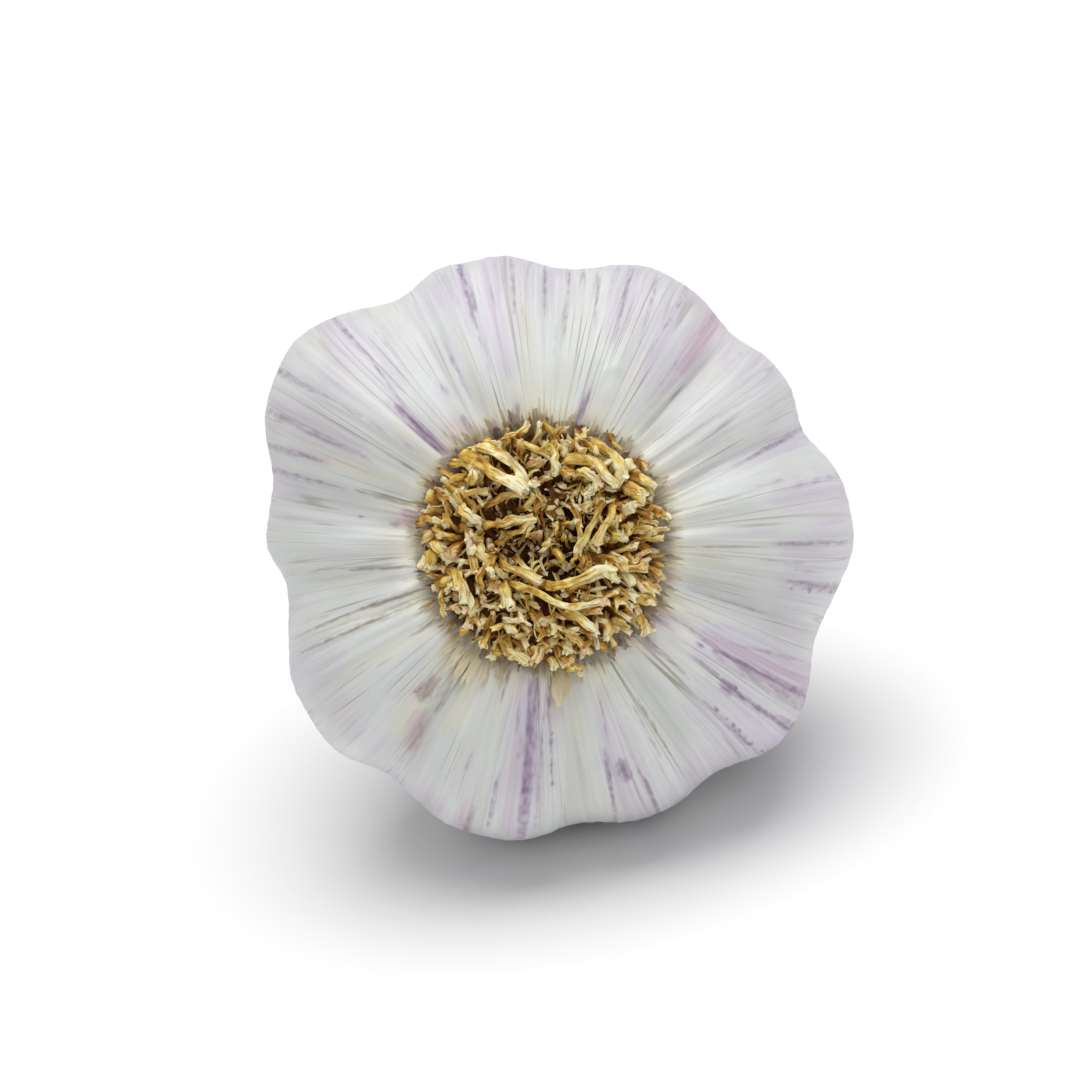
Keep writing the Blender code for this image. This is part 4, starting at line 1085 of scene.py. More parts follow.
# One piece of many roots. The tone of each place is how far along it is, its root's tint, whether it is on
# the torn end, and how rusty it is; the grain is a place round the root and its distance along in millimetres
def rootPiece(name, rings, starts, ends, tint, rust):
    roots, rows, sides = rings.shape[:3]
    points, quads, triangles = manyTubes(rings, starts, ends)
    tone = np.empty((roots, rows, sides, 4))
    tone[..., 0] = np.clip(np.arange(rows) / (rows - 2), 0.0, 1.0)[None, :, None]
    tone[..., 1] = tint[:, None, None]
    tone[..., 2] = (np.arange(rows) >= rows - 1)[None, :, None]
    tone[..., 3] = rust[:, None, None]
    around = np.arange(sides) * 2 * math.pi / sides
    steps = np.linalg.norm(np.diff(rings.mean(axis=2), axis=1), axis=-1)
    length = np.concatenate([np.zeros((roots, 1)), np.cumsum(steps, axis=1)], axis=1) / millimetre
    grain = np.empty((roots, rows, sides, 3))
    grain[..., 0] = np.cos(around)[None, None, :] + 7.0 * np.arange(roots)[:, None, None]
    grain[..., 1] = np.sin(around)[None, None, :] + tint[:, None, None] * 91.0
    grain[..., 2] = length[:, :, None]
    attributes = {}
    for label, values in (("rootTone", tone), ("grain", grain)):
        values = values.reshape(roots, rows * sides, -1)
        values = np.concatenate([values, values[:, :1], values[:, -1:]], axis=1)
        attributes[label] = values.reshape(-1, values.shape[-1])
    return meshPiece(name, laidDown(crumpled(points.reshape(-1, 3))), quads, triangles, attributes, 60)


# Dried roots laid across the tuft, all in millimetres: width, height above the root plane, tint from rusty
# to pale, then points across the root end. The thick ones are those that the solid has
laidRoots = {
    "thick": (
        (1.3, 4.4, 0.75, 1.3, 8.0, 2.8, 8.6, 4.4, 8.6, 5.8, 7.9, 6.7, 6.8, 7.5, 5.8),
        (1.5, 4.6, 0.80, 5.2, 10.3, 6.1, 9.6, 7.0, 8.7, 7.7, 7.6, 8.1, 6.4),
        (1.2, 4.0, 0.90, 2.9, 6.8, 3.6, 7.3, 4.5, 7.2, 5.2, 6.5, 5.1, 5.6, 4.2, 5.3),
        (1.5, 4.2, 0.70, -8.2, 9.1, -6.7, 8.4, -5.3, 7.3, -3.9, 6.7, -2.8, 6.1, -2.0, 5.4),
        (1.3, 3.6, 0.85, -7.0, 9.9, -5.6, 9.6, -4.1, 8.9, -2.9, 7.8, -2.3, 6.6, -1.8, 5.7),
        (1.3, 3.8, 0.85, -8.8, 4.1, -7.9, 3.4, -7.0, 2.7, -6.2, 2.3),
        (0.95, 3.4, 0.60, -6.6, 1.7, -5.1, 2.1, -3.6, 2.5, -2.2, 2.5, -1.1, 2.7),
        (0.95, 3.0, 0.45, -6.2, 3.4, -5.3, 4.3, -4.0, 4.8, -2.9, 5.0, -1.8, 5.1),
        (0.95, 4.4, 0.75, -4.3, -3.5, -2.4, -4.1, -0.5, -4.8, 1.4, -5.7, 3.3, -6.2, 6.0, -5.6),
        (1.1, 4.2, 0.70, -0.5, -3.9, 1.2, -4.1, 2.9, -3.6, 4.5, -2.9, 6.1, -2.3, 7.2, -3.0),
        (1.2, 3.8, 0.90, 1.6, -7.0, 2.7, -6.9, 3.8, -7.4, 4.7, -8.1, 5.4, -8.9),
        (0.85, 3.0, 0.60, 2.2, -8.5, 3.2, -9.3, 4.0, -10.1, 4.6, -11.1),
        (1.1, 2.6, 0.85, -4.3, -10.2, -3.4, -10.7, -2.4, -11.2, -1.5, -11.7),
        (0.85, 3.6, 0.55, 6.2, 5.7, 5.8, 4.1, 5.2, 2.6, 4.4, 1.1, 3.7, -0.2),
        (0.95, 4.0, 0.60, 7.2, 4.9, 6.9, 3.6, 6.3, 2.3, 5.7, 1.1, 5.2, 0.1),
        (0.8, 3.4, 0.60, 1.7, 4.5, 2.7, 4.0, 3.4, 2.9, 3.6, 1.4, 3.6, 0.1, 3.4, -1.0),
        (1.4, 3.6, 0.75, 8.0, 5.9, 8.9, 5.5, 9.7, 5.0, 10.4, 4.5),
        (1.5, 3.0, 0.70, 8.6, 7.2, 9.5, 6.7, 10.4, 6.1, 11.2, 5.6),
        (1.2, 3.2, 0.85, -11.3, 0.5, -10.5, -0.2, -9.7, -1.0, -9.0, -1.9),
        (1.3, 3.6, 0.80, -9.6, -2.2, -8.8, -3.1, -8.2, -4.1, -7.8, -5.1, -7.9, -5.9),
        (1.3, 3.2, 0.85, -7.0, 0.3, -6.4, -0.4, -5.7, -1.4, -5.4, -2.2),
        (1.1, 3.6, 0.75, -4.4, -1.2, -3.5, -2.2, -2.4, -2.7, -1.3, -3.1, -0.2, -3.6),
        (1.0, 3.4, 0.70, -3.4, 10.3, -1.9, 10.1, -0.5, 9.5, 0.8, 8.6, 1.4, 7.2),
    ),
    "thin": (
        (0.9, 3.4, 0.65, -9.6, 5.9, -8.6, 5.5, -7.4, 5.2, -6.4, 5.5, -5.6, 5.3),
        (0.8, 3.0, 0.5, -10.3, 7.5, -9.6, 7.2, -8.8, 6.6, -8.3, 5.9, -7.6, 5.7),
        (0.8, 3.3, 0.6, -9.1, 8.2, -8.1, 8.2, -7.3, 7.9, -7.0, 7.4),
        (1.0, 3.6, 0.95, -7.4, 6.4, -6.9, 6.9, -6.6, 7.5),
        (0.7, 2.8, 0.8, -9.2, 6.2, -9.7, 6.4, -10.2, 6.7),
        (0.7, 3.2, 0.4, -8.9, 4.9, -8.0, 4.7, -7.4, 4.4, -6.8, 3.8, -6.1, 3.7),
        (0.8, 2.8, 0.5, -10.6, 5.3, -9.9, 4.7, -9.2, 4.6, -8.7, 4.9),
        (0.7, 3.0, 0.35, -9.5, 4.7, -9.6, 3.8, -9.4, 3.1),
        (0.8, 2.9, 0.45, -12.4, 2.1, -11.7, 2.8, -11.1, 2.7, -10.6, 2.1),
        (0.7, 3.0, 0.5, -10.9, 1.7, -10.3, 1.1, -9.4, 0.9, -8.4, 1.0),
        (0.9, 3.4, 0.9, -9.8, 3.0, -9.9, 2.4, -9.7, 1.8), (0.7, 3.0, 0.45, -8.5, 1.5, -7.9, 1.9, -7.3, 1.2),
        (0.6, 3.4, 0.65, -4.4, 0.1, -3.8, 1.0, -3.2, 1.3, -2.2, 1.6, -1.3, 2.1, -0.9, 2.9),
        (0.5, 3.2, 0.7, -2.0, 0.6, -1.4, 1.3, -0.9, 2.0),
        (0.6, 3.2, 0.5, -2.7, 3.4, -2.0, 3.6, -1.4, 4.2, -1.2, 5.0, -1.3, 5.6),
        (0.6, 3.4, 0.7, -0.2, 4.3, -0.5, 5.0, -0.7, 5.6), (0.8, 3.2, 0.35, -0.9, 3.2, -0.6, 3.9, -0.2, 4.3),
        (0.8, 3.2, 0.45, -7.5, 0.4, -6.9, 0.8, -6.2, 0.3),
        (0.8, 3.0, 0.6, -4.2, 10.3, -3.2, 10.8, -2.4, 11.2),
        (0.9, 2.8, 0.7, -5.7, 10.6, -4.9, 10.2, -4.2, 10.2),
        (0.9, 2.7, 0.55, -2.5, 10.8, -2.0, 11.6, -1.6, 12.2),
        (0.8, 3.6, 0.9, -3.2, 7.0, -2.6, 6.2, -1.9, 5.3),
        (0.9, 3.8, 0.9, 0.3, 9.6, 0.8, 9.8, 1.1, 9.0, 1.1, 8.2, 1.4, 7.3),
        (0.9, 3.6, 0.9, 2.0, 8.1, 2.3, 7.5, 2.4, 6.9), (0.8, 3.4, 0.85, 3.8, 5.7, 4.2, 5.1, 4.6, 4.5),
        (0.6, 3.0, 0.55, 2.8, 5.4, 3.0, 4.5, 3.2, 3.9), (0.8, 3.4, 0.85, 3.9, 3.5, 4.6, 4.1, 5.0, 3.6),
        (0.9, 3.5, 0.65, 4.9, 3.7, 5.3, 4.6, 5.8, 4.9, 6.0, 4.3),
        (0.7, 3.3, 0.7, 8.2, 3.0, 7.5, 2.5, 7.0, 1.8), (0.9, 3.4, 0.95, 9.9, 4.4, 9.1, 4.0, 8.3, 3.4),
        (0.6, 2.8, 0.4, 9.6, 3.1, 10.4, 3.5, 11.2, 3.8, 11.8, 3.3),
        (0.8, 2.8, 0.75, 11.2, 3.2, 12.0, 3.1, 12.8, 2.6), (0.6, 2.7, 0.6, 9.6, 2.2, 10.6, 2.3, 11.5, 2.1),
        (0.6, 2.6, 0.45, 9.5, 1.0, 10.6, 1.2, 11.6, 1.5, 12.5, 1.9),
        (0.6, 2.6, 0.6, 9.2, 0.3, 10.5, 0.4, 12.0, 0.8), (0.9, 3.3, 0.4, 7.6, 1.8, 8.4, 1.6, 9.0, 1.9),
        (0.8, 3.3, 0.8, 6.8, 1.6, 7.3, 1.2, 8.0, 1.1), (0.8, 3.3, 0.7, 6.8, 0.4, 7.5, 0.7, 8.4, 0.8),
        (0.9, 3.4, 0.55, 1.4, 10.7, 1.9, 10.0, 2.4, 9.1), (0.8, 3.0, 0.35, 2.9, 9.5, 3.4, 10.4, 3.9, 10.9),
        (0.9, 3.6, 0.55, 4.3, 10.3, 4.9, 9.7, 5.6, 9.2), (0.8, 2.6, 0.8, 3.3, 11.4, 3.9, 11.0, 4.5, 11.6),
        (0.9, 2.7, 0.6, 0.1, 12.0, 0.8, 11.4, 1.6, 11.3, 2.3, 11.6),
        (0.7, 2.7, 0.5, 6.9, 10.9, 7.3, 10.0, 7.9, 9.4), (0.8, 2.8, 0.5, 9.0, 8.2, 9.8, 8.2, 10.5, 7.7),
        (0.7, 2.9, -0.25, 0.8, 5.8, 0.9, 4.5, 0.6, 3.2), (0.6, 2.8, -0.25, 1.4, 5.7, 1.2, 4.2, 1.3, 3.0),
        (0.6, 2.9, -0.2, 2.1, 6.0, 2.1, 5.2, 1.7, 4.6), (0.5, 2.8, -0.2, -0.1, 4.2, -0.2, 2.9, 0.1, 2.0),
        (0.6, 3.0, 0.6, 1.3, 1.0, 1.3, 1.6, 1.2, 2.2), (0.5, 3.0, 0.6, 2.0, 0.6, 2.2, 1.1, 2.3, 1.6),
        (0.6, 3.1, 0.6, 2.1, 2.2, 2.7, 2.1, 3.3, 2.3), (0.7, 3.0, 0.8, 0.2, -0.2, 0.5, 0.2, 0.8, 0.4),
        (1.5, 3.0, 0.75, -11.2, -0.9, -11.6, -1.5, -12.1, -2.3),
        (0.8, 3.0, 0.7, -9.1, -0.8, -8.7, -1.3, -8.1, -1.7),
        (0.9, 3.2, 0.65, -10.4, -3.9, -9.5, -3.5, -8.7, -3.2),
        (1.0, 3.5, 0.5, -7.1, -0.2, -7.1, -1.3, -6.9, -2.2, -7.0, -2.9),
        (0.9, 3.8, 0.5, -5.0, -1.2, -5.7, -1.9, -6.3, -2.9, -6.3, -4.0, -6.0, -5.5),
        (0.8, 3.2, 0.9, -6.9, -5.6, -7.2, -6.3, -7.2, -7.3),
        (0.8, 3.4, 0.85, -4.9, -2.0, -4.4, -2.7, -3.9, -3.2),
        (0.7, 3.0, 0.7, -5.6, -2.6, -5.2, -2.9, -4.8, -3.3),
        (0.7, 3.3, 0.6, -2.9, -1.4, -2.0, -1.9, -1.2, -2.6),
        (1.5, 4.0, 0.85, -4.2, -4.0, -3.8, -4.8, -3.5, -6.1),
        (0.6, 3.2, 0.5, -5.8, -4.4, -5.0, -4.1, -4.4, -3.6),
        (0.6, 2.6, 0.6, -9.9, -4.2, -10.2, -5.2, -10.1, -6.2, -9.8, -7.3),
        (0.8, 2.8, 0.75, -9.2, -6.0, -8.7, -6.5, -8.3, -6.8),
        (0.8, 2.9, 0.5, -7.5, -7.7, -6.8, -7.4, -6.4, -8.0),
        (0.8, 3.0, 0.5, -5.9, -8.2, -5.2, -7.6, -4.8, -7.0),
        (0.7, 2.8, 0.2, -5.1, -8.4, -4.6, -8.2, -4.0, -8.0),
        (0.8, 2.6, 0.85, -6.9, -9.5, -6.2, -9.3, -5.9, -10.4),
        (0.8, 2.7, 0.3, -2.7, -9.5, -1.9, -10.2, -1.3, -11.0),
        (0.9, 2.6, 0.7, -0.9, -11.2, -0.5, -10.5, 0.1, -10.1),
        (0.9, 3.0, 0.45, -2.6, -7.2, -1.9, -7.9, -1.4, -8.6),
        (0.8, 3.0, 0.55, -1.4, -6.6, -0.7, -7.4, -0.2, -8.3),
        (0.8, 2.8, 0.5, -3.6, -8.9, -2.9, -9.0, -2.2, -9.3),
        (0.8, 3.4, 0.85, 1.3, -0.7, 1.8, -1.6, 2.6, -2.6), (0.5, 3.5, 0.8, 3.3, -0.7, 2.9, -1.6, 2.7, -2.4),
        (0.8, 3.0, 0.35, 3.6, -0.4, 3.9, -1.6, 3.7, -2.8), (0.7, 3.0, 0.5, 4.3, -0.8, 4.6, -1.6, 4.7, -2.3),
        (0.8, 3.8, 0.6, 2.4, -4.8, 3.6, -3.9, 4.9, -3.4, 6.2, -2.9),
        (1.0, 3.6, 0.5, 5.0, -1.2, 6.2, -1.5, 7.4, -1.7, 8.2, -2.3, 9.4, -2.4, 10.5, -2.0),
        (0.8, 4.0, 0.85, 6.4, -2.1, 6.9, -2.8, 7.4, -3.8), (0.8, 3.2, 0.8, 8.4, -0.9, 9.0, -1.7, 9.6, -1.2),
        (0.8, 3.1, 0.45, 7.6, -4.2, 8.0, -4.9, 8.7, -4.6),
        (1.5, 2.8, 0.55, 9.2, -3.4, 10.3, -4.0, 11.4, -4.6),
        (1.2, 2.7, 0.65, 9.1, -5.4, 10.3, -5.4, 11.4, -5.7),
        (0.9, 3.2, 0.65, 4.0, -5.0, 4.6, -5.4, 5.2, -5.2), (0.9, 2.9, 0.5, 8.2, -6.7, 8.7, -6.3, 9.0, -5.9),
        (0.7, 3.2, 0.9, 1.8, -8.3, 2.8, -8.6, 3.7, -9.0), (0.8, 3.4, 0.95, 0.7, -7.7, 1.0, -8.2, 1.1, -8.9),
        (1.0, 3.0, 0.65, 6.2, -7.2, 6.6, -8.3, 6.4, -9.5), (0.8, 2.8, 0.6, 7.0, -7.6, 7.8, -7.8, 8.5, -8.6),
        (1.2, 2.6, 0.75, 9.9, -7.3, 10.3, -7.9, 10.6, -8.7),
        (0.7, 2.8, 0.85, 2.1, -9.9, 2.4, -10.3, 2.7, -10.6),
        (0.9, 2.5, 0.9, 0.8, -11.3, 1.1, -11.8, 1.4, -12.4),
        (0.8, 2.5, 0.3, 1.8, -11.0, 2.3, -11.3, 2.9, -11.4),
        (0.9, 2.5, 0.7, 2.6, -12.3, 3.3, -12.0, 3.9, -12.7),
        (0.7, 2.6, 0.4, 0.0, -9.2, 0.4, -9.8, 0.6, -10.5),
    ),
    "places": 22,
    "widthShare": 0.9,
    "endDrop": 0.0006,
    "thickStart": (0.25, 0.4),  # how high it starts, and the share of its length over which it climbs
    "thinStart": 0.72,
    "gapDip": 0.0015,
    "footReach": 0.0088,
    "footAlong": 0.0002,
    "thinFootSunk": 0.0004,
    "wiggle": 0.00007,
    "wiggleFrom": 0.3,
    "upWiggle": (9, 16),
    "sideWiggle": (10, 20),
    # distance from the middle of the tuft, and the greatest height there
    "dome": ((0.0080, 0.0046), (0.0105, 0.0029), (0.0125, 0.0017), (0.0140, 0.0013)),
    "clear": 0.0013,
    "clearFrom": 0.0090,
    "clearRise": 0.0014,
    "sides": 12,
    "flatness": (0.50, 0.86),
    "rust": (0.95, 1.5),
    "seed": 61,
}


# Each root follows its points. A thick one comes up out of the plate and arches over, a thin one starts among
# the others at height x (1 - (1 - start) x (1 - share)^3). Both end a little lower by drop x share^2, stay
# under the tuft's dome and clear of the skin past the plate, and wiggle by sin(rate x share + phase)
def makeLaidRoots():
    spec = laidRoots
    draws = np.random.default_rng(spec["seed"])
    share = np.linspace(0.0, 1.0, spec["places"])

    def wiggle(slowest, fastest):
        wave = np.sin(share * draws.uniform(slowest, fastest) + draws.uniform(*anyPhase))
        return spec["wiggle"] * wave * softStep(0.0, spec["wiggleFrom"], share)

    paths = []
    for index, (_, height, _, *points) in enumerate(spec["thick"] + spec["thin"]):
        flat = smoothLine(np.reshape(points, (-1, 2)), spec["places"]) * millimetre
        thick = index < len(spec["thick"])
        startHeight, climb = spec["thickStart"]
        if thick:
            shown = softStep(0.0, 1.0, share / climb + startHeight)
        else:
            shown = 1.0 - (1.0 - spec["thinStart"]) * (1.0 - share) ** 3
        rise = height * millimetre * shown - spec["endDrop"] * share**2
        reach = np.hypot(flat[:, 0], flat[:, 1])
        rise = np.minimum(rise, np.interp(reach, *np.array(spec["dome"]).T))
        pastEdge = softStep(spec["clearFrom"], spec["clearFrom"] + spec["clearRise"], reach)
        rise = np.maximum(rise, spec["clear"] * pastEdge)
        rise += wiggle(*spec["upWiggle"])
        if not thick:
            rise -= spec["gapDip"] * gapShare(flat[:, 0], flat[:, 1])
        path = np.stack([flat[:, 0], -rise, flat[:, 1]], axis=1)
        sideways = np.stack([-np.gradient(flat[:, 1]), 0 * share, np.gradient(flat[:, 0])], axis=1)
        path += unit(sideways) * wiggle(*spec["sideWiggle"])[:, None]
        foot = path[0] * 2.0 - path[1] + [0.0, spec["thinFootSunk"], 0.0]
        if thick:
            foot = path[0].copy()
            foot[[0, 2]] *= min(1.0, spec["footReach"] / np.hypot(foot[0], foot[2]))
            foot[1] = spec["footAlong"]
        paths.append(np.vstack([foot, path]))
    paths = np.array(paths)
    width, _, tint = np.array([row[:3] for row in spec["thick"] + spec["thin"]]).T
    flatness = draws.uniform(*spec["flatness"], len(paths))
    reference = unit(np.cross(paths[:, -1] - paths[:, 0], [0.0, -1.0, 0.0]))
    twist = draws.uniform(-1.0, 1.0, len(paths))
    width = width * spec["widthShare"] * millimetre
    rings, starts, ends = rootRings(paths, reference, width, flatness, twist, spec["sides"], draws)
    rust = np.clip(spec["rust"][0] - spec["rust"][1] * tint, 0.0, 1.0)
    return rootPiece("laidRoots", rings, starts, ends, tint, rust)


# Rows of short stubs: radius of the row, how many, length, slant away from upright in degrees, and width
stubRows = {
    "rows": (
        (0.0107, 84, 0.0022, 84, 0.00040), (0.0105, 64, 0.0023, 80, 0.00050),
        (0.0101, 60, 0.0024, 80, 0.00070), (0.0096, 60, 0.0026, 74, 0.00075),
        (0.0089, 54, 0.0028, 65, 0.00080), (0.0081, 50, 0.0031, 50, 0.00080),
        (0.0073, 46, 0.0032, 36, 0.00080), (0.0064, 40, 0.0030, 26, 0.00078),
        (0.0055, 36, 0.0028, 16, 0.00074), (0.0046, 30, 0.0026, 5, 0.00070),
        (0.0037, 26, 0.0025, -8, 0.00066), (0.0028, 20, 0.0024, -15, 0.00060),
        (0.0018, 17, 0.0031, -10, 0.00055), (0.0008, 9, 0.0032, -5, 0.00060),
    ),
    "places": 6,
    "sides": 7,
    "sunk": 0.0008,
    "rowJitter": 0.0005,
    "spacing": 0.0011,
    "length": (0.55, 1.08),  # share of the row's length
    "width": (0.6, 1.35),
    "slantDeg": 22,
    "gapShorter": 0.75,
    "bend": 1.2,
    "nod": 0.6,
    "flatness": (0.5, 0.95),
    "twist": 1.6,
    "spin": 0.9,
    "tint": (0.05, 1.0),
    "rimPaler": 0.35,
    "middlePaler": 0.4,
    "rust": (-0.5, 0.7),
    "middleRust": 0.4,
    "seed": 67,
}


# A stub stands on the plate and leans outwards, or inwards with a negative slant, bending to one side: each
# step of it goes upright x cos(tilt) + out x (sin(tilt) + nod) + around x bend, made one unit long
def makeStubs():
    spec = stubRows
    draws = np.random.default_rng(spec["seed"])
    table = np.array(spec["rows"])
    numbers = table[:, 1].astype(int)
    rowRadius, length, slant, width = np.repeat(table[:, [0, 2, 3, 4]], numbers, axis=0).T
    count = len(rowRadius)
    rows = [draws.uniform(*anyPhase) + np.arange(number) * 2 * math.pi / number for number in numbers]
    direction = np.concatenate(rows) + draws.uniform(-0.4, 0.4, count) * spec["spacing"] / rowRadius
    radius = rowRadius + draws.uniform(-1.0, 1.0, count) * spec["rowJitter"]
    length = length * draws.uniform(*spec["length"], count)
    slant = np.radians(slant + draws.uniform(-spec["slantDeg"], spec["slantDeg"], count))
    width = width * draws.uniform(*spec["width"], count)
    out = np.stack([np.cos(direction), 0 * direction, np.sin(direction)], axis=-1)
    around = np.stack([-out[:, 2], 0 * direction, out[:, 0]], axis=-1)
    upright = np.array([0.0, -1.0, 0.0])
    profile = np.array(plate["profile"])[::-1]
    plateTop = np.interp(radius, profile[:, 1], -profile[:, 0])
    foot = out * radius[:, None] + upright * (plateTop - spec["sunk"])[:, None]
    shown = foot + out * (0.75 * length * np.sin(slant))[:, None]
    inGap = np.maximum(gapShare(foot[:, 0], foot[:, 2]), gapShare(shown[:, 0], shown[:, 2]))
    length = length * (1.0 - spec["gapShorter"] * inGap)
    share = np.linspace(0.0, 1.0, spec["places"])[None, :, None]
    tilt = slant[:, None, None] * (0.35 + 0.65 * share)
    bend = draws.uniform(-spec["bend"], spec["bend"], (count, 1, 1)) * share
    nod = draws.uniform(-spec["nod"], spec["nod"], (count, 1, 1)) * share
    step = upright * np.cos(tilt) + out[:, None] * (np.sin(tilt) + nod) + around[:, None] * bend
    pieces = unit(step) * (length + spec["sunk"])[:, None, None] / (spec["places"] - 1)
    pieces[:, 0] = 0.0
    paths = foot[:, None] + np.cumsum(pieces, axis=1)
    flatness = draws.uniform(*spec["flatness"], count)
    twist = draws.uniform(-spec["twist"], spec["twist"], count)
    spin = draws.uniform(-spec["spin"], spec["spin"], (count, 1))
    reference = unit(around * np.cos(spin) + out * np.sin(spin) * 0.6 + upright * np.sin(spin) * 0.2)
    rings, starts, ends = rootRings(paths, reference, width, flatness, twist, spec["sides"], draws)
    tint = draws.uniform(*spec["tint"], count) + spec["rimPaler"] * softStep(0.0102, 0.0106, rowRadius)
    tint = tint + spec["middlePaler"] * (1.0 - softStep(0.0016, 0.0030, rowRadius))
    middle = 1.0 - softStep(0.0028, 0.0060, radius)
    rust = np.clip(draws.uniform(*spec["rust"], count) + spec["middleRust"] * middle, 0.0, 1.0)
    return rootPiece("rootStubs", rings, starts, ends, tint, rust)


# Torn shreds of root all through the tuft: little curled sheets, most of them pointing outwards
shreds = {
    "count": 460,
    "reach": 0.0116,
    "length": (0.0007, 0.0026),
    "width": (0.00012, 0.00036),
    "thickness": 0.00007,
    "turnDeg": 55,
    "pitchDeg": 28,
    "rollDeg": 60,
    "places": 5,
    # distance from the middle of the tuft, and the height of the highest shreds there
    "top": (
        (0.0, 0.0024), (0.0030, 0.0026), (0.0050, 0.0031),
        (0.0080, 0.0033), (0.0100, 0.0026), (0.0120, 0.0015),
    ),
    "below": 0.0014,
    "gapDip": 0.0030,
    "narrowing": (0.2, 0.9),
    "bend": 0.35,
    "skew": 0.2,
    "along": 0.6,
    "tint": (0.15, 1.1),
    "rust": (-0.5, 0.6),
    "seed": 91,
}


# Each shred is middle + ahead x along + side x across x half-width + normal x bend x share^2, narrower
# towards both ends by narrowing x share^2
def makeShreds():
    spec = shreds
    draws = np.random.default_rng(spec["seed"])
    count = spec["count"]
    reach = spec["reach"] * np.sqrt(draws.uniform(0.0, 1.0, count))
    direction = draws.uniform(0.0, 2 * math.pi, count)
    height = np.interp(reach, *np.array(spec["top"]).T) - draws.uniform(0.0, spec["below"], count)
    x, y = reach * np.cos(direction), reach * np.sin(direction)
    height = height - spec["gapDip"] * gapShare(x, y)
    middle = np.stack([x, -height, y], axis=-1)[:, None, None]
    turn = direction + np.radians(draws.uniform(-spec["turnDeg"], spec["turnDeg"], count))
    turn = turn + math.pi * draws.integers(0, 2, count)
    pitch = np.radians(draws.uniform(-spec["pitchDeg"], spec["pitchDeg"], count))
    roll = np.radians(draws.uniform(-spec["rollDeg"], spec["rollDeg"], count))[:, None]
    ahead = np.stack([np.cos(turn) * np.cos(pitch), -np.sin(pitch), np.sin(turn) * np.cos(pitch)], axis=-1)
    level = unit(np.cross(ahead, np.array([0.0, -1.0, 0.0])))
    side = level * np.cos(roll) + np.cross(ahead, level) * np.sin(roll)
    normal = np.cross(side, ahead)[:, None, None]
    places = spec["places"]
    share = np.linspace(-1.0, 1.0, places)[None, :, None]
    across = np.array([-1.0, 1.0])[None, None, :]

    def drawn(low, high):
        return draws.uniform(low, high, (count, 1, 1))

    length = drawn(*spec["length"])
    half = 0.5 * drawn(*spec["width"]) * (1.0 - drawn(*spec["narrowing"]) * share**2)
    bend = (drawn(-spec["bend"], spec["bend"]) * length * share**2)[..., None]
    along = (0.5 * length * (share + spec["skew"] * across * drawn(-1.0, 1.0)))[..., None]
    base = middle + ahead[:, None, None] * along + side[:, None, None] * (across * half)[..., None]
    fronts = base + normal * bend + normal * 0.5 * spec["thickness"]
    points, quads = manySheets(fronts, fronts - normal * spec["thickness"])
    tone = np.zeros((count, 2, places, 2, 4))
    tone[..., 0] = spec["along"]
    tone[..., 1] = drawn(*spec["tint"])[..., None]
    tone[..., 3] = np.clip(drawn(*spec["rust"]), 0.0, 1.0)[..., None]
    grain = np.zeros((count, 2, places, 2, 3))
    grain[..., 0] = 3.0 * np.arange(count)[:, None, None, None] + 0.3 * across[:, None]
    grain[..., 2] = (along[..., 0] / millimetre)[:, None]
    attributes = {"rootTone": tone.reshape(-1, 4), "grain": grain.reshape(-1, 3)}
    return meshPiece("rootShreds", laidDown(crumpled(points.reshape(-1, 3))), quads, (), attributes, 60)


rootLook = {
    "golden": [
        (0.00, (0.10, 0.030, 0.004)),
        (0.25, (0.30, 0.120, 0.012)),
        (0.43, (0.60, 0.360, 0.050)),
        (0.62, (0.86, 0.680, 0.200)),
        (0.82, (0.96, 0.910, 0.600)),
    ],
    "rusty": [(0.05, (0.11, 0.030, 0.005)), (0.4, (0.40, 0.155, 0.028)), (0.85, (0.78, 0.52, 0.24))],
    # how much the place along the root, its tint and its blotches count; a low place along makes the foot
    #     # dark, partly rusty brown and partly painted shade of the gaps deep in the tuft
    "placeShares": (0.46, 0.50, 1.25),
    "blotchMiddle": 0.49,
    "stripes": (0.36, 0.50),
    "streak": [(0.32, (0.54, 0.37, 0.16)), (0.48, (1.0, 1.0, 1.0))],
    "streakShare": 0.9,
    "stripe": (0.62, 0.36, 0.17, 1.0),
    "stripeShare": 0.75,
    "torn": (0.86, 0.79, 0.58, 1.0),
    "tornShare": 0.55,
    "roughness": (0.72, 0.5),
}
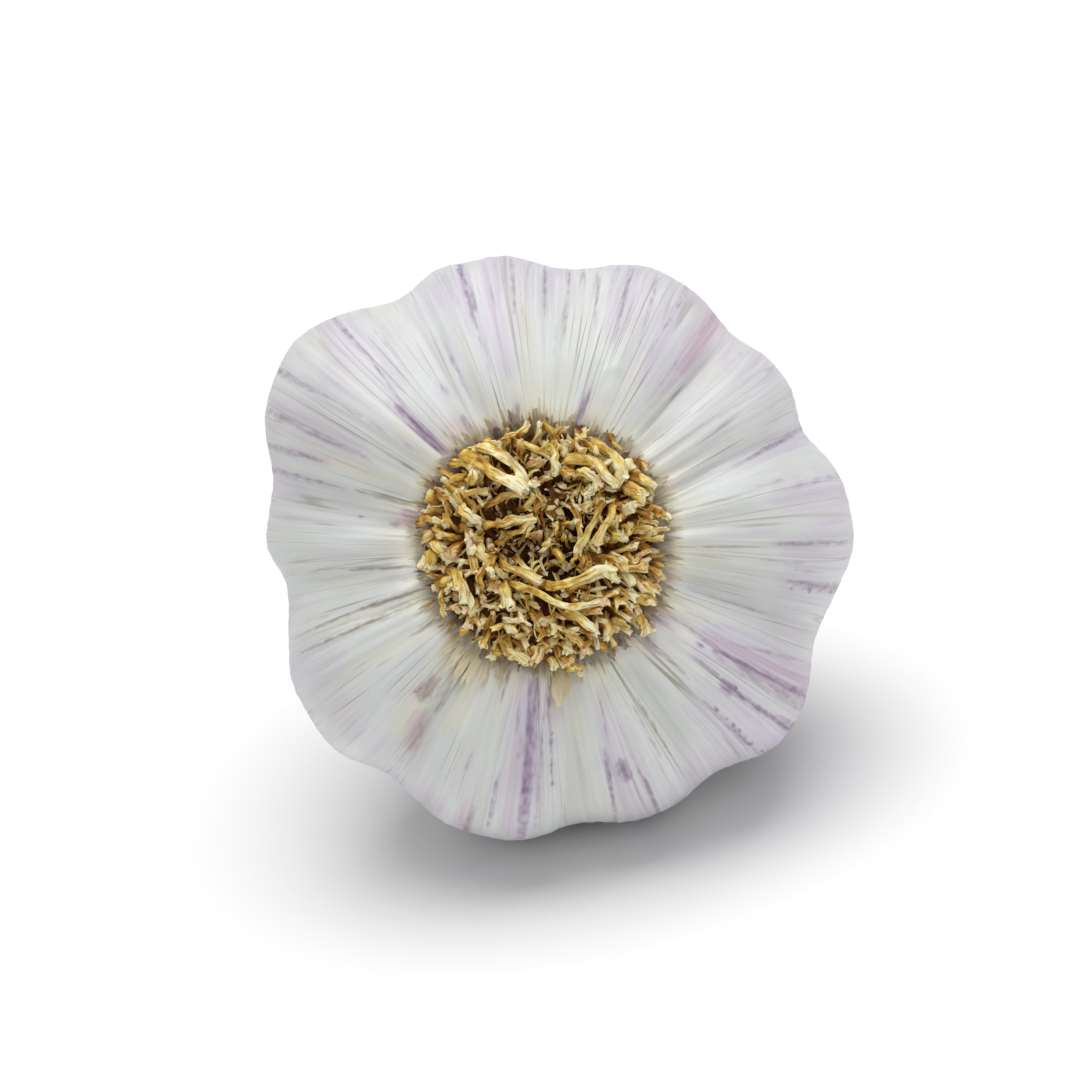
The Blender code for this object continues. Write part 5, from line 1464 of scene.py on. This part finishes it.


# Dried root: rusty brown at its foot, partly its own colour and partly painted shade of the deep gaps down
# in the tuft, ochre to straw along it, paler on its torn end, streaked along its fibres. The place on the
# ramps is the weighted sum of the share along, the tint and the blotches
def makeRootMaterial():
    look = rootLook
    material, tree, shader = newMaterial("dried root")
    share, tint, torn, rust = readChannels(tree, "rootTone")
    grain = readAttribute(tree, "grain")["Vector"]
    fibre = fibres(tree, grain, 2.6, 1.0, 4.0)
    blotch = fibres(tree, grain, 0.7, 0.8, 2.0)
    # the share along the root darkens its foot: rust, and painted shade of the gaps deep in the tuft
    footShadeAndRustWeight, tintWeight, blotchWeight = look["placeShares"]
    spread = timesNode(tree, mathNode(tree, "SUBTRACT", blotch, look["blotchMiddle"]), blotchWeight)
    place = mathNode(tree, "ADD", timesNode(tree, share, footShadeAndRustWeight), timesNode(tree, tint, tintWeight))
    place = mathNode(tree, "ADD", place, spread)
    golden, rusty = rampNode(tree, place, look["golden"]), rampNode(tree, place, look["rusty"])
    colour = blendColour(tree, rust, golden, rusty)
    streak = rampNode(tree, fibre, look["streak"])
    colour = blendColour(tree, look["streakShare"], colour, streak, "MULTIPLY")
    stripes = fibres(tree, grain, 1.3, 0.45, 3.0)
    stained = timesNode(tree, mapNode(tree, stripes, *look["stripes"], 1.0, 0.0), look["stripeShare"])
    colour = blendColour(tree, stained, colour, look["stripe"], "MULTIPLY")
    colour = blendColour(tree, timesNode(tree, torn, look["tornShare"]), colour, look["torn"])
    roughness = mapNode(tree, fibre, *fibreRange, *look["roughness"])
    setSurface(tree, shader, colour, roughness, fibre, 0.7, 0.0001)
    setScatter(shader, 0.08, 0.0006, 0.25)
    return material


# Torn leaf bases round the plate: small ragged shards, larger listed flakes, and a fringe of thin
# fibres
shards = {
    "count": 240,
    "inside": (0.0108, 0.0122),
    "length": (0.0008, 0.0025),
    "halfWidth": (0.00010, 0.00040),
    "rows": 9,
    "columns": 5,
    "liftDeg": (3, 42),
    "purple": 0.09,
    "gold": 0.07,
    "seed": 71,
    # direction, inner radius, length, half-width, lift in degrees, tint: 0 pale, 1 purple
    "flakes": (
        (228, 0.0112, 0.0042, 0.00045, 4, 0.02), (232, 0.0113, 0.0050, 0.00055, 4, 0.00),
        (236, 0.0115, 0.0060, 0.00050, 3, 0.00), (240, 0.0116, 0.0050, 0.00055, 4, 0.00),
        (244, 0.0118, 0.0036, 0.00045, 6, 0.03), (251, 0.0120, 0.0030, 0.00050, 7, 0.05),
        (278, 0.0120, 0.0040, 0.00120, 5, 0.00), (285, 0.0120, 0.0028, 0.00060, 10, 0.05),
        (120.3, 0.0109, 0.0016, 0.00045, 20, 0.90), (112.6, 0.0112, 0.0018, 0.00050, 25, 0.85),
        (103.7, 0.0116, 0.0024, 0.00040, 18, 1.00), (71.8, 0.0112, 0.0020, 0.00070, 22, 0.95),
        (63.9, 0.0110, 0.0015, 0.00040, 20, 0.70), (58.2, 0.0116, 0.0015, 0.00045, 18, 0.70),
        (49.9, 0.0124, 0.0018, 0.00040, 10, 0.15), (29, 0.0126, 0.0018, 0.00040, 10, 0.15),
        (26, 0.0123, 0.0018, 0.00040, 12, 0.10), (161, 0.0116, 0.0016, 0.00040, 12, 0.60),
        (171, 0.0122, 0.0016, 0.00035, 10, 0.50), (214, 0.0100, 0.0014, 0.00040, 20, 0.60),
        (221, 0.0107, 0.0014, 0.00040, 20, 0.60), (240.6, 0.0120, 0.0012, 0.00040, 12, 0.85),
        (303, 0.0120, 0.0016, 0.00035, 30, 0.20), (309, 0.0122, 0.0018, 0.00040, 32, 0.30),
        (315, 0.0118, 0.0020, 0.00045, 36, 0.20), (320, 0.0121, 0.0022, 0.00035, 30, 0.10),
        (324, 0.0118, 0.0024, 0.00040, 34, 0.35), (329, 0.0116, 0.0022, 0.00040, 30, 0.15),
        (333, 0.0120, 0.0026, 0.00035, 28, 0.30), (337, 0.0118, 0.0022, 0.00045, 32, 0.12),
        (341, 0.0119, 0.0024, 0.00035, 30, 0.25), (346, 0.0119, 0.0026, 0.00040, 26, 0.05),
    ),
}
fringe = {
    "count": 360,
    "inside": (0.0102, 0.0120),
    "length": (0.0010, 0.0030),
    "halfWidth": (0.00006, 0.00016),
    "rows": 5,
    "columns": 2,
    "liftDeg": (3, 34),
    "purple": 0.05,
    "gold": 0.08,
    "seed": 73,
    "flakes": (),
}


# What shards and fringe share
shardForm = {
    "gap": 0.00010,
    "thickness": 0.00008,
    "narrowing": (0.15, 0.85),
    "narrowPower": (0.8, 2.2),
    "ragged": (-0.22, 0.22),
    "tipRagged": (-0.30, 0.10),
    "tipFrom": 0.6,
    "lean": (-0.8, 0.8),
    "fibreLean": (-1.0, 1.0),
    "fibreHalf": 0.0002,  # one with a smaller half-width is a fibre, which leans further
    "curl": (-0.25, 0.45),
    "own": (0.25, 1.0),
    "paleFlake": (0.04, 0.3),  # greatest tint of a pale flake, and how much of its own shade it keeps
}


# Sheets that start near the plate and follow the skin outwards. Each narrows by narrowing x share^power, is
# ragged at its edges and tip, leans aside, and lifts off the skin by tan(lift) x reach x share plus its curl
def makeShards(name, spec):
    form = shardForm
    draws = np.random.default_rng(spec["seed"])
    count = spec["count"]
    direction = (np.arange(count) + draws.uniform(-0.5, 0.5, count)) * 360.0 / count
    ranges = [spec[key] for key in ("inside", "length", "halfWidth", "liftDeg")]
    inside, length, half, lift = (draws.uniform(*limits, count) for limits in ranges)
    tint = np.where(draws.uniform(0.0, 1.0, count) < spec["purple"], draws.uniform(0.5, 1.0, count), 0.0)
    if spec["flakes"]:
        placed = np.array(spec["flakes"], float).T
        pairs = zip((direction, inside, length, half, lift, tint), placed)
        direction, inside, length, half, lift, tint = (np.concatenate(pair) for pair in pairs)
    gold = np.where(draws.uniform(0.0, 1.0, len(direction)) < spec["gold"], 1.0, 0.0)
    gold[count:] = 0.0
    count = len(direction)

    def drawn(low, high):
        return draws.uniform(low, high, (count, 1, 1))

    share = np.linspace(0.0, 1.0, spec["rows"])[None, :, None]
    across = np.linspace(-1.0, 1.0, spec["columns"])[None, None, :]
    narrow = 1.0 - drawn(*form["narrowing"]) * share ** drawn(*form["narrowPower"])
    ragged = draws.uniform(*form["ragged"], (count, spec["rows"], spec["columns"]))
    tipRagged = draws.uniform(*form["tipRagged"], (count, 1, spec["columns"]))
    tipRagged = tipRagged * softStep(form["tipFrom"], 1.0, share)
    reach = length[:, None, None] * (share + tipRagged)
    radius = inside[:, None, None] + reach
    half = half[:, None, None]
    lean = drawn(*form["lean"]) * share**2
    lean = lean + drawn(*form["fibreLean"]) * share * (half < form["fibreHalf"])
    sideways = half * (across * narrow + ragged * np.abs(across) * share + lean)
    directions = direction[:, None, None] + np.degrees(sideways / radius)
    runs = runAtRadius(radius)
    relief, _ = skinRelief(directions, runs)
    rise = np.tan(np.radians(lift))[:, None, None] * reach * share
    curl = drawn(*form["curl"]) * half * across**2 * share
    height = form["gap"] + np.maximum(relief, 0.0) + np.maximum(rise + curl, 0.0)
    fronts = skinPoints(directions, runs, height)
    backs = skinPoints(directions, runs, height - form["thickness"])
    points, quads = manySheets(fronts, backs)
    tone = np.empty((count, 2, spec["rows"], spec["columns"], 4))
    tone[..., 0] = tint[:, None, None, None]
    own = draws.uniform(*form["own"], count)
    greatestTint, kept = form["paleFlake"]
    own[spec["count"] :] *= np.where(tint[spec["count"] :] > greatestTint, 1.0, kept)
    tone[..., 1] = own[:, None, None, None]
    tone[..., 2] = share[:, None]
    tone[..., 3] = gold[:, None, None, None]
    grain = np.empty((count, 2, spec["rows"], spec["columns"], 3))
    grain[..., 0] = (sideways / millimetre)[:, None]
    grain[..., 1] = direction[:, None, None, None]
    grain[..., 2] = (reach / millimetre)[:, None]
    attributes = {"leafTone": tone.reshape(-1, 4), "grain": grain.reshape(-1, 3)}
    return meshPiece(name, laidDown(points.reshape(-1, 3)), quads, (), attributes, 60, turned=True)


leafLook = {
    "pale": [(0.0, (0.74, 0.61, 0.36)), (0.45, (0.82, 0.75, 0.58)), (1.0, (0.88, 0.86, 0.80))],
    "gold": [(0.0, (0.55, 0.34, 0.10)), (1.0, (0.80, 0.64, 0.30))],
    "purple": [(0.0, (0.14, 0.065, 0.10)), (0.6, (0.28, 0.165, 0.21)), (1.0, (0.44, 0.33, 0.37))],
    "streak": [(0.33, (0.78, 0.73, 0.66)), (0.56, (1.0, 1.0, 1.0))],
    "streakShare": 0.8,
    "tip": (0.80, 0.75, 0.64, 1.0),
    "tipShare": 0.25,
    "roughness": (0.7, 0.5),
}


# Torn leaf: pale beige, golden or dull purple by its tone, streaked along its fibres, paler towards thin tips
def makeLeafMaterial():
    look = leafLook
    material, tree, shader = newMaterial("torn leaf")
    tint, own, share, golden = readChannels(tree, "leafTone")
    grain = readAttribute(tree, "grain")["Vector"]
    fibre = fibres(tree, grain, 4.5, 0.6, 4.0)
    pale, gold, purple = (rampNode(tree, own, look[kind]) for kind in ("pale", "gold", "purple"))
    purpleShare = timesNode(tree, tint, mathNode(tree, "ADD", fibre, 0.45), clamp=True)
    colour = blendColour(tree, golden, pale, gold)
    colour = blendColour(tree, purpleShare, colour, purple)
    streak = rampNode(tree, fibre, look["streak"])
    colour = blendColour(tree, look["streakShare"], colour, streak, "MULTIPLY")
    colour = blendColour(tree, timesNode(tree, share, look["tipShare"]), colour, look["tip"])
    roughness = mapNode(tree, fibre, *fibreRange, *look["roughness"])
    setSurface(tree, shader, colour, roughness, fibre, 0.5, 0.00008)
    setScatter(shader, 0.10, 0.0006)
    return material


# The neck's cut end: leaf sheaths inside the outer skin, each with a torn top, round the cut flower stalk
neckEnd = {
    "columns": 160,
    # outer radius, wall, place of the top along the bulb, raggedness of the top
    "sheaths": (
        (0.00462, 0.00022, 0.0692, 0.00060), (0.00405, 0.00022, 0.0684, 0.00045),
        (0.00348, 0.00024, 0.0694, 0.00040), (0.00290, 0.00026, 0.0688, 0.00035),
    ),
    "depth": 0.0046,
    "steps": 9,
    "poleLift": 0.0002,
    "tint": (0.06, 0.10),  # of the first sheath, and more for every second one
    "own": 0.75,
    "folds": (0.05, 0.02),
    "foldLimits": (-0.1, 0.07),
    "raggedLimits": (-1.8, 1.0),
    "stalkRadius": 0.00205,
    "stalkTop": 0.0697,
    "stalkWavy": 0.05,
    "stalkOwn": 0.85,
    "stalkGrain": 0.0004,
    "pit": 0.00002,
    "slant": 0.0003,
    # share of the stalk's radius, and height from its top, from the foot up and in over the cut
    "stalkProfile": (
        (1.0, -0.0046), (1.0, -0.0020),
        (1.0, -0.0004), (0.97, -0.00008),
        (0.90, 0.0), (0.72, 0.0),
        (0.52, -0.00005), (0.34, -0.00012),
        (0.18, -0.00022), (0.08, -0.00028),
    ),
    "seed": 83,
}


# Closed tubes on the neck's drifting middle. A sheath's radius is radius x (1 + folds), its top is ragged,
# and its rows go up outside and down inside; the stalk is a cylinder with a pitted, slanting cut
def makeNeckEnd():
    spec = neckEnd
    draws = np.random.default_rng(spec["seed"])
    directions = np.arange(spec["columns"]) * 360.0 / spec["columns"]
    angle = np.radians(directions)
    parts = []
    count = 0

    def ringAt(reach, along):
        row = np.stack([reach * np.cos(angle), along, reach * np.sin(angle)], axis=-1)
        return row + neckMiddle(along)

    def addPart(rows, lift, tint, own, grainOf):
        grid = np.stack(rows)
        foot, head = grid[0].mean(axis=0), grid[-1].mean(axis=0) + [0, lift, 0]
        points, quads, triangles = closedTube(grid, foot, head)
        tone = np.tile([tint, own, 1.0, 0.0], (len(points), 1))
        parts.append((points, quads + count, triangles + count, tone, grainOf(grid, points)))
        return count + len(points)

    for index, (radius, wall, top, ragged) in enumerate(spec["sheaths"]):
        large, small = spec["folds"]
        folds = large * roundProfile(draws, 5, 14) + small * roundProfile(draws, 20, 44)
        wavy = radius * (1.0 + np.clip(readProfile(folds, directions), *spec["foldLimits"]))
        torn = readProfile(roundProfile(draws, 4, 28), directions)
        torn = top + ragged * np.clip(torn, *spec["raggedLimits"])
        up = np.linspace(0.0, 1.0, spec["steps"])
        outside = [ringAt(wavy, torn - spec["depth"] * (1.0 - step)) for step in up]
        inside = [ringAt(wavy - wall, torn - spec["depth"] * (1.0 - step)) for step in up[::-1]]

        def sheathGrain(grid, points):
            spread = np.tile(angle, len(grid))
            run = grid[..., 1].reshape(-1) / millimetre
            grain = np.stack([np.cos(spread) * 5 + index, np.sin(spread) * 5, run], axis=-1)
            return np.vstack([grain, grain[:2]])

        tint = spec["tint"][0] + spec["tint"][1] * (index % 2)
        count = addPart(outside + inside, spec["poleLift"], tint, spec["own"], sheathGrain)
    rows = []
    wavy = readProfile(roundProfile(draws, 3, 12), directions)
    stalk = spec["stalkRadius"] * (1.0 + spec["stalkWavy"] * wavy)
    for share, down in spec["stalkProfile"]:
        pits = draws.normal(size=spec["columns"]) * spec["pit"] * (share < 0.9)
        slant = spec["slant"] * np.cos(angle - 0.6)
        rows.append(ringAt(stalk * share, spec["stalkTop"] + down + pits + slant))
    addPart(rows, 0.0, 0.0, spec["stalkOwn"], lambda grid, points: points / spec["stalkGrain"])
    points, quads, triangles, tones, grain = (np.vstack(group) for group in zip(*parts))
    attributes = {"leafTone": tones, "grain": grain}
    return meshPiece("neckSheaths", laidDown(points), quads, triangles, attributes, 60, turned=True)


# Plain studio: a pale floor, an even surround, a broad soft light above and a weaker one from the side of
# the camera
studio = {
    "floorHalf": 3.0,
    "floorBelow": 0.00005,
    "floorColour": (0.96, 0.96, 0.96, 1.0),
    "floorRoughness": 0.9,
    "floorSpecular": 0.1,
    "surround": (1.0, 1.0, 1.0, 1.0),
    "surroundStrength": 0.37,
    "target": (0.0, 0.0, 0.03),
    # name, place, size, power, colour
    "lights": (
        ("softLightAbove", (0.05, 0.05, 0.94), 1.00, 7.9, (1.0, 1.0, 0.995)),
        ("softLightFront", (0.25, -0.95, 0.55), 0.80, 1.0, (0.985, 0.99, 1.0)),
    ),
}


# An object's matrix from its right, up and backward directions and its place
def placedMatrix(right, up, back, place):
    matrix = np.eye(4)
    matrix[:3] = np.stack([right, up, back, place], axis=1)
    return Matrix(matrix.tolist())


# The floor's corners are at -half or half both ways and just below zero; each light looks at the target
def makeStudio():
    half, below = studio["floorHalf"], studio["floorBelow"]
    corners = np.array([(x * half, y * half, -below) for x, y in ((-1, -1), (1, -1), (1, 1), (-1, 1))])
    floor = meshPiece("floor", corners, [[0, 1, 2, 3]])
    material, _, shader = newMaterial("pale floor")
    shader.inputs["Base Color"].default_value = studio["floorColour"]
    shader.inputs["Roughness"].default_value = studio["floorRoughness"]
    shader.inputs["Specular IOR Level"].default_value = studio["floorSpecular"]
    floor.data.materials.append(material)
    world = bpy.data.worlds.new("surround")
    world.use_nodes = True
    background = world.node_tree.nodes["Background"]
    background.inputs["Color"].default_value = studio["surround"]
    background.inputs["Strength"].default_value = studio["surroundStrength"]
    bpy.context.scene.world = world
    for name, place, size, power, colour in studio["lights"]:
        lamp = bpy.data.lights.new(name, "AREA")
        lamp.shape = "DISK"
        lamp.size = size
        lamp.energy = power
        lamp.color = colour
        holder = bpy.data.objects.new(name, lamp)
        bpy.context.scene.collection.objects.link(holder)
        away = unit(np.array(place) - studio["target"])
        level = (0.0, 1.0, 0.0) if abs(away[2]) > 0.9 else (0.0, 0.0, 1.0)
        side = unit(np.cross(level, away))
        holder.matrix_world = placedMatrix(side, np.cross(away, side), away, place)
    bpy.context.scene.view_settings.view_transform = "Standard"
    bpy.context.scene.view_settings.look = "None"


# The camera looks along the bulb's axis at its root end, with the bulb's own Z upright in the frame
photoView = {
    "frameSide": 0.1108,  # width of the frame where the bulb is widest
    "distance": 0.80,
    "aim": (-0.00031, 0.00051),  # right and up of the bulb's axis
    "sensor": 36.0,
    "clip": (0.01, 20.0),
}


# Place of the camera: the middle of the widest outline, moved by the aim, less distance x the bulb's axis
def makeCamera():
    right, along, up = lieTurn.T
    aimRight, aimUp = photoView["aim"]
    middle = lieMiddle + along * bulbShape["widestAlong"] + right * aimRight + up * aimUp
    camera = bpy.data.cameras.new("photoView")
    camera.sensor_width = photoView["sensor"]
    camera.lens = photoView["sensor"] * photoView["distance"] / photoView["frameSide"]
    camera.clip_start, camera.clip_end = photoView["clip"]
    holder = bpy.data.objects.new("photoView", camera)
    bpy.context.scene.collection.objects.link(holder)
    holder.matrix_world = placedMatrix(right, up, -along, middle - along * photoView["distance"])
    bpy.context.scene.camera = holder


# A piece gets its material and rides the one body; the triangles of its faces are counted
def dress(piece, material):
    piece.data.materials.append(material)
    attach(piece, "root")
    triangles = sum(len(face.vertices) - 2 for face in piece.data.polygons)
    print(piece.name, triangles, "triangles")


makeCamera()
makeStudio()
print("camera and studio set")

skinMaterial = makeSkinMaterial()
rootMaterial = makeRootMaterial()
leafMaterial = makeLeafMaterial()

paperySkin = makeSkin()
dress(paperySkin, skinMaterial)
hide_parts("bulb")
dress(makeNeckEnd(), leafMaterial)

rootStubs = makeStubs()
dress(rootStubs, rootMaterial)
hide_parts("root_tuft")
dress(makeLaidRoots(), rootMaterial)
dress(makeShreds(), rootMaterial)
dress(makePlate(), rootMaterial)

tornShards = makeShards("tornShards", shards)
dress(tornShards, leafMaterial)
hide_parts("torn_leaf_bases")
dress(makeShards("tornFringe", fringe), leafMaterial)
